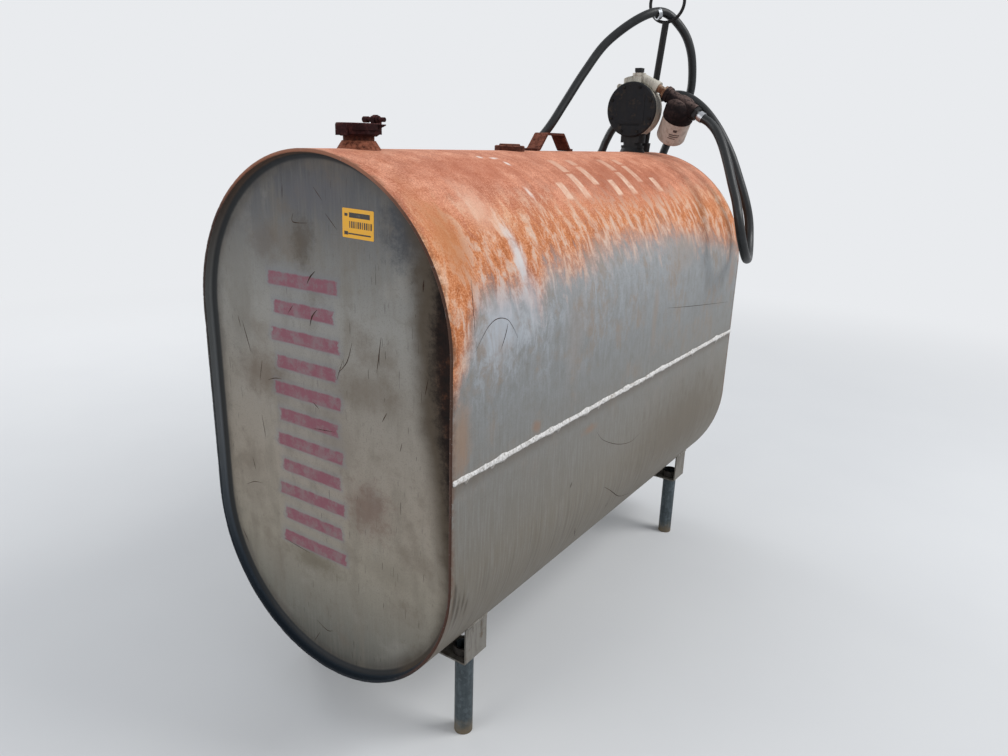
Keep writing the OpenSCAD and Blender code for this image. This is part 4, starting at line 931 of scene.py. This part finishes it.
class FUELTANK_OT_fill_cap(bpy.types.Operator):
    """Fill pipe, cap and hinged lid"""
    bl_idname = "fueltank.fill_cap"
    bl_label = "Fill cap"

    def execute(self, context):
        dress(rusty_iron("dark rusted casting", "#190a0b", "#2c1516", "#4d2a27", 0.006, "#5b3431"),
              "fill_cap_body", "fill_hinge_rod", "fill_cap_lid")
        # The fill pipe's rust is painted darker, as painted shade under the overhanging cap
        dress(rusty_iron("rusted fill pipe in painted shade", "#26120f", "#42231b", "#6c3f2d", 0.006), "fill_neck")
        dress(rusty_iron("rusted fill spud", "#371c14", "#623524", "#925540", 0.008, "#a66b54"), "fill_spud")
        return {"FINISHED"}


class FUELTANK_OT_bung_and_lug(bpy.types.Operator):
    """Middle bung and lifting lug"""
    bl_idname = "fueltank.bung_and_lug"
    bl_label = "Bung and lifting lug"

    def execute(self, context):
        dress(rusty_iron("rusted bung", "#2c1712", "#4d2c22", "#7e5142", 0.008, "#8d5d4c"),
              "bung_ring", "bung_plug")
        dress(rusty_iron("rusted lifting strap", "#26110c", "#45241b", "#6f4133", 0.01, "#8a5645"),
              "lifting_lug")
        return {"FINISHED"}


class FUELTANK_OT_pump(bpy.types.Operator):
    """Transfer pump with its cover, plug and motor"""
    bl_idname = "fueltank.pump"
    bl_label = "Pump"

    def execute(self, context):
        dress(painted_casting("cream paint on the pump casting", "#b9b4a8", "#6f675b", "#6b655a", "#c4bfb3"),
              "pump_body")
        dress(painted_casting("grimy dark pump cover", "#17191d", "#40382f", "#1d1c1c", wear_cover=0.7,
                              roughness=0.72), "pump_cover")
        dress(painted_casting("black painted casting", "#131417", "#2f2d2a", "#1d1b1a", "#3b3835"),
              "pump_spud", "pump_neck", "pump_plug", "pump_motor")
        dress(rusty_iron("dark steel screws", "#121212", "#201f1e", "#3e3a36"), "pump_cover_screws")
        return {"FINISHED"}


class FUELTANK_OT_filter(bpy.types.Operator):
    """Outlet pipe, filter head, filter can with its blank print, and hose bushing"""
    bl_idname = "fueltank.filter"
    bl_label = "Filter"

    def execute(self, context):
        dress(rusty_iron("rusted pipe fittings", "#35231b", "#6a4733", "#a98a70", 0.004, "#b09a84"),
              "outlet_nipple", "outlet_union")
        dress(rusty_iron("near-black filter casting", "#0b090a", "#181213", "#332725", 0.01, "#6b5953"),
              "filter_head")
        dress(painted_casting("faded white paint on the filter", "#b8aea5", "#94857a", "#8d8276"),
              "filter_can")
        dress(painted_casting("black iron bushing", "#1d1d1f", "#454443", "#2b2927"), "hose_bushing")
        ink = flat_print("faded dark print", "#3a3233")
        lines = [((high,) * 3, [(left, up), (left + 0.25 * wide, up), (left + wide, up)])
                 for up, left, wide, high in CAN_MARKS]
        new_piece("can_print", ribbons(lines, can_face, LIFT), ink, "filter_can", smooth=False)
        return {"FINISHED"}


class FUELTANK_OT_hanger(bpy.types.Operator):
    """Mast and ring that carry the hose"""
    bl_idname = "fueltank.hanger"
    bl_label = "Hose hanger"

    def execute(self, context):
        dress(painted_casting("dark steel of the hanger", "#121214", "#2e2822", "#1c1917", "#302c29"),
              "hanger_socket", "hanger_mast", "hanger_ring")
        return {"FINISHED"}


class FUELTANK_OT_label(bpy.types.Operator):
    """Blank yellow label on the near head, with plain dark bars"""
    bl_idname = "fueltank.label"
    bl_label = "Label"

    def execute(self, context):
        looks = context.scene.fuel_tank
        centre = Vector((LABEL_X, -HEAD_Y - LABEL_THICK / 2, LABEL_Z))
        tilt = Matrix.Rotation(math.radians(LABEL_TILT), 3, "Y")
        film = label_slab(looks.label_width, looks.label_height)
        bmesh.ops.rotate(film, verts=film.verts, cent=(0, 0, 0), matrix=tilt)
        bmesh.ops.translate(film, verts=film.verts, vec=centre)
        new_piece("label_film", film, flat_print("yellow vinyl film", tuple(looks.label_colour), 0.35),
                  "head_paint", smooth=False)
        wide, high = looks.label_width, looks.label_height
        lines = [((bar_high * high,) * 3,
                  [(centre.x + (x + end * bar_wide / 2) * wide, centre.z + z * high) for end in (-1, 1)])
                 for x, z, bar_wide, bar_high in LABEL_MARKS]
        bars = ribbons(lines, head_face, LABEL_THICK + LIFT)
        bmesh.ops.rotate(bars, verts=bars.verts, cent=centre, matrix=tilt)
        new_piece("label_bars", bars, flat_print("dark ink", "#241f1b"), "head_paint", smooth=False)
        return {"FINISHED"}


STEPS = ("stage", "hose", "shell", "scratches", "welds", "legs", "fill_cap", "bung_and_lug", "pump", "filter",
         "hanger", "label")


class FUELTANK_PT_panel(bpy.types.Panel):
    """Lists the settings and one button for each piece"""
    bl_idname = "FUELTANK_PT_panel"
    bl_label = "Fuel tank"
    bl_space_type = "VIEW_3D"
    bl_region_type = "UI"
    bl_category = "Fuel tank"

    def draw(self, context):
        looks = context.scene.fuel_tank
        for name in FuelTankLooks.__annotations__:
            self.layout.prop(looks, name)
        for step in STEPS:
            self.layout.operator("fueltank." + step)


CLASSES = (FuelTankLooks, FUELTANK_OT_stage, FUELTANK_OT_hose, FUELTANK_OT_shell, FUELTANK_OT_scratches,
           FUELTANK_OT_welds, FUELTANK_OT_legs, FUELTANK_OT_fill_cap, FUELTANK_OT_bung_and_lug,
           FUELTANK_OT_pump, FUELTANK_OT_filter, FUELTANK_OT_hanger, FUELTANK_OT_label, FUELTANK_PT_panel)


def register():
    for cls in CLASSES:
        bpy.utils.register_class(cls)
    bpy.types.Scene.fuel_tank = bpy.props.PointerProperty(type=FuelTankLooks)


def unregister():
    del bpy.types.Scene.fuel_tank
    for cls in reversed(CLASSES):
        bpy.utils.unregister_class(cls)


def main():
    register()
    for step in STEPS:
        getattr(bpy.ops.fueltank, step)()
    bpy.context.view_layer.update()


if __name__ == "__main__":
    main()
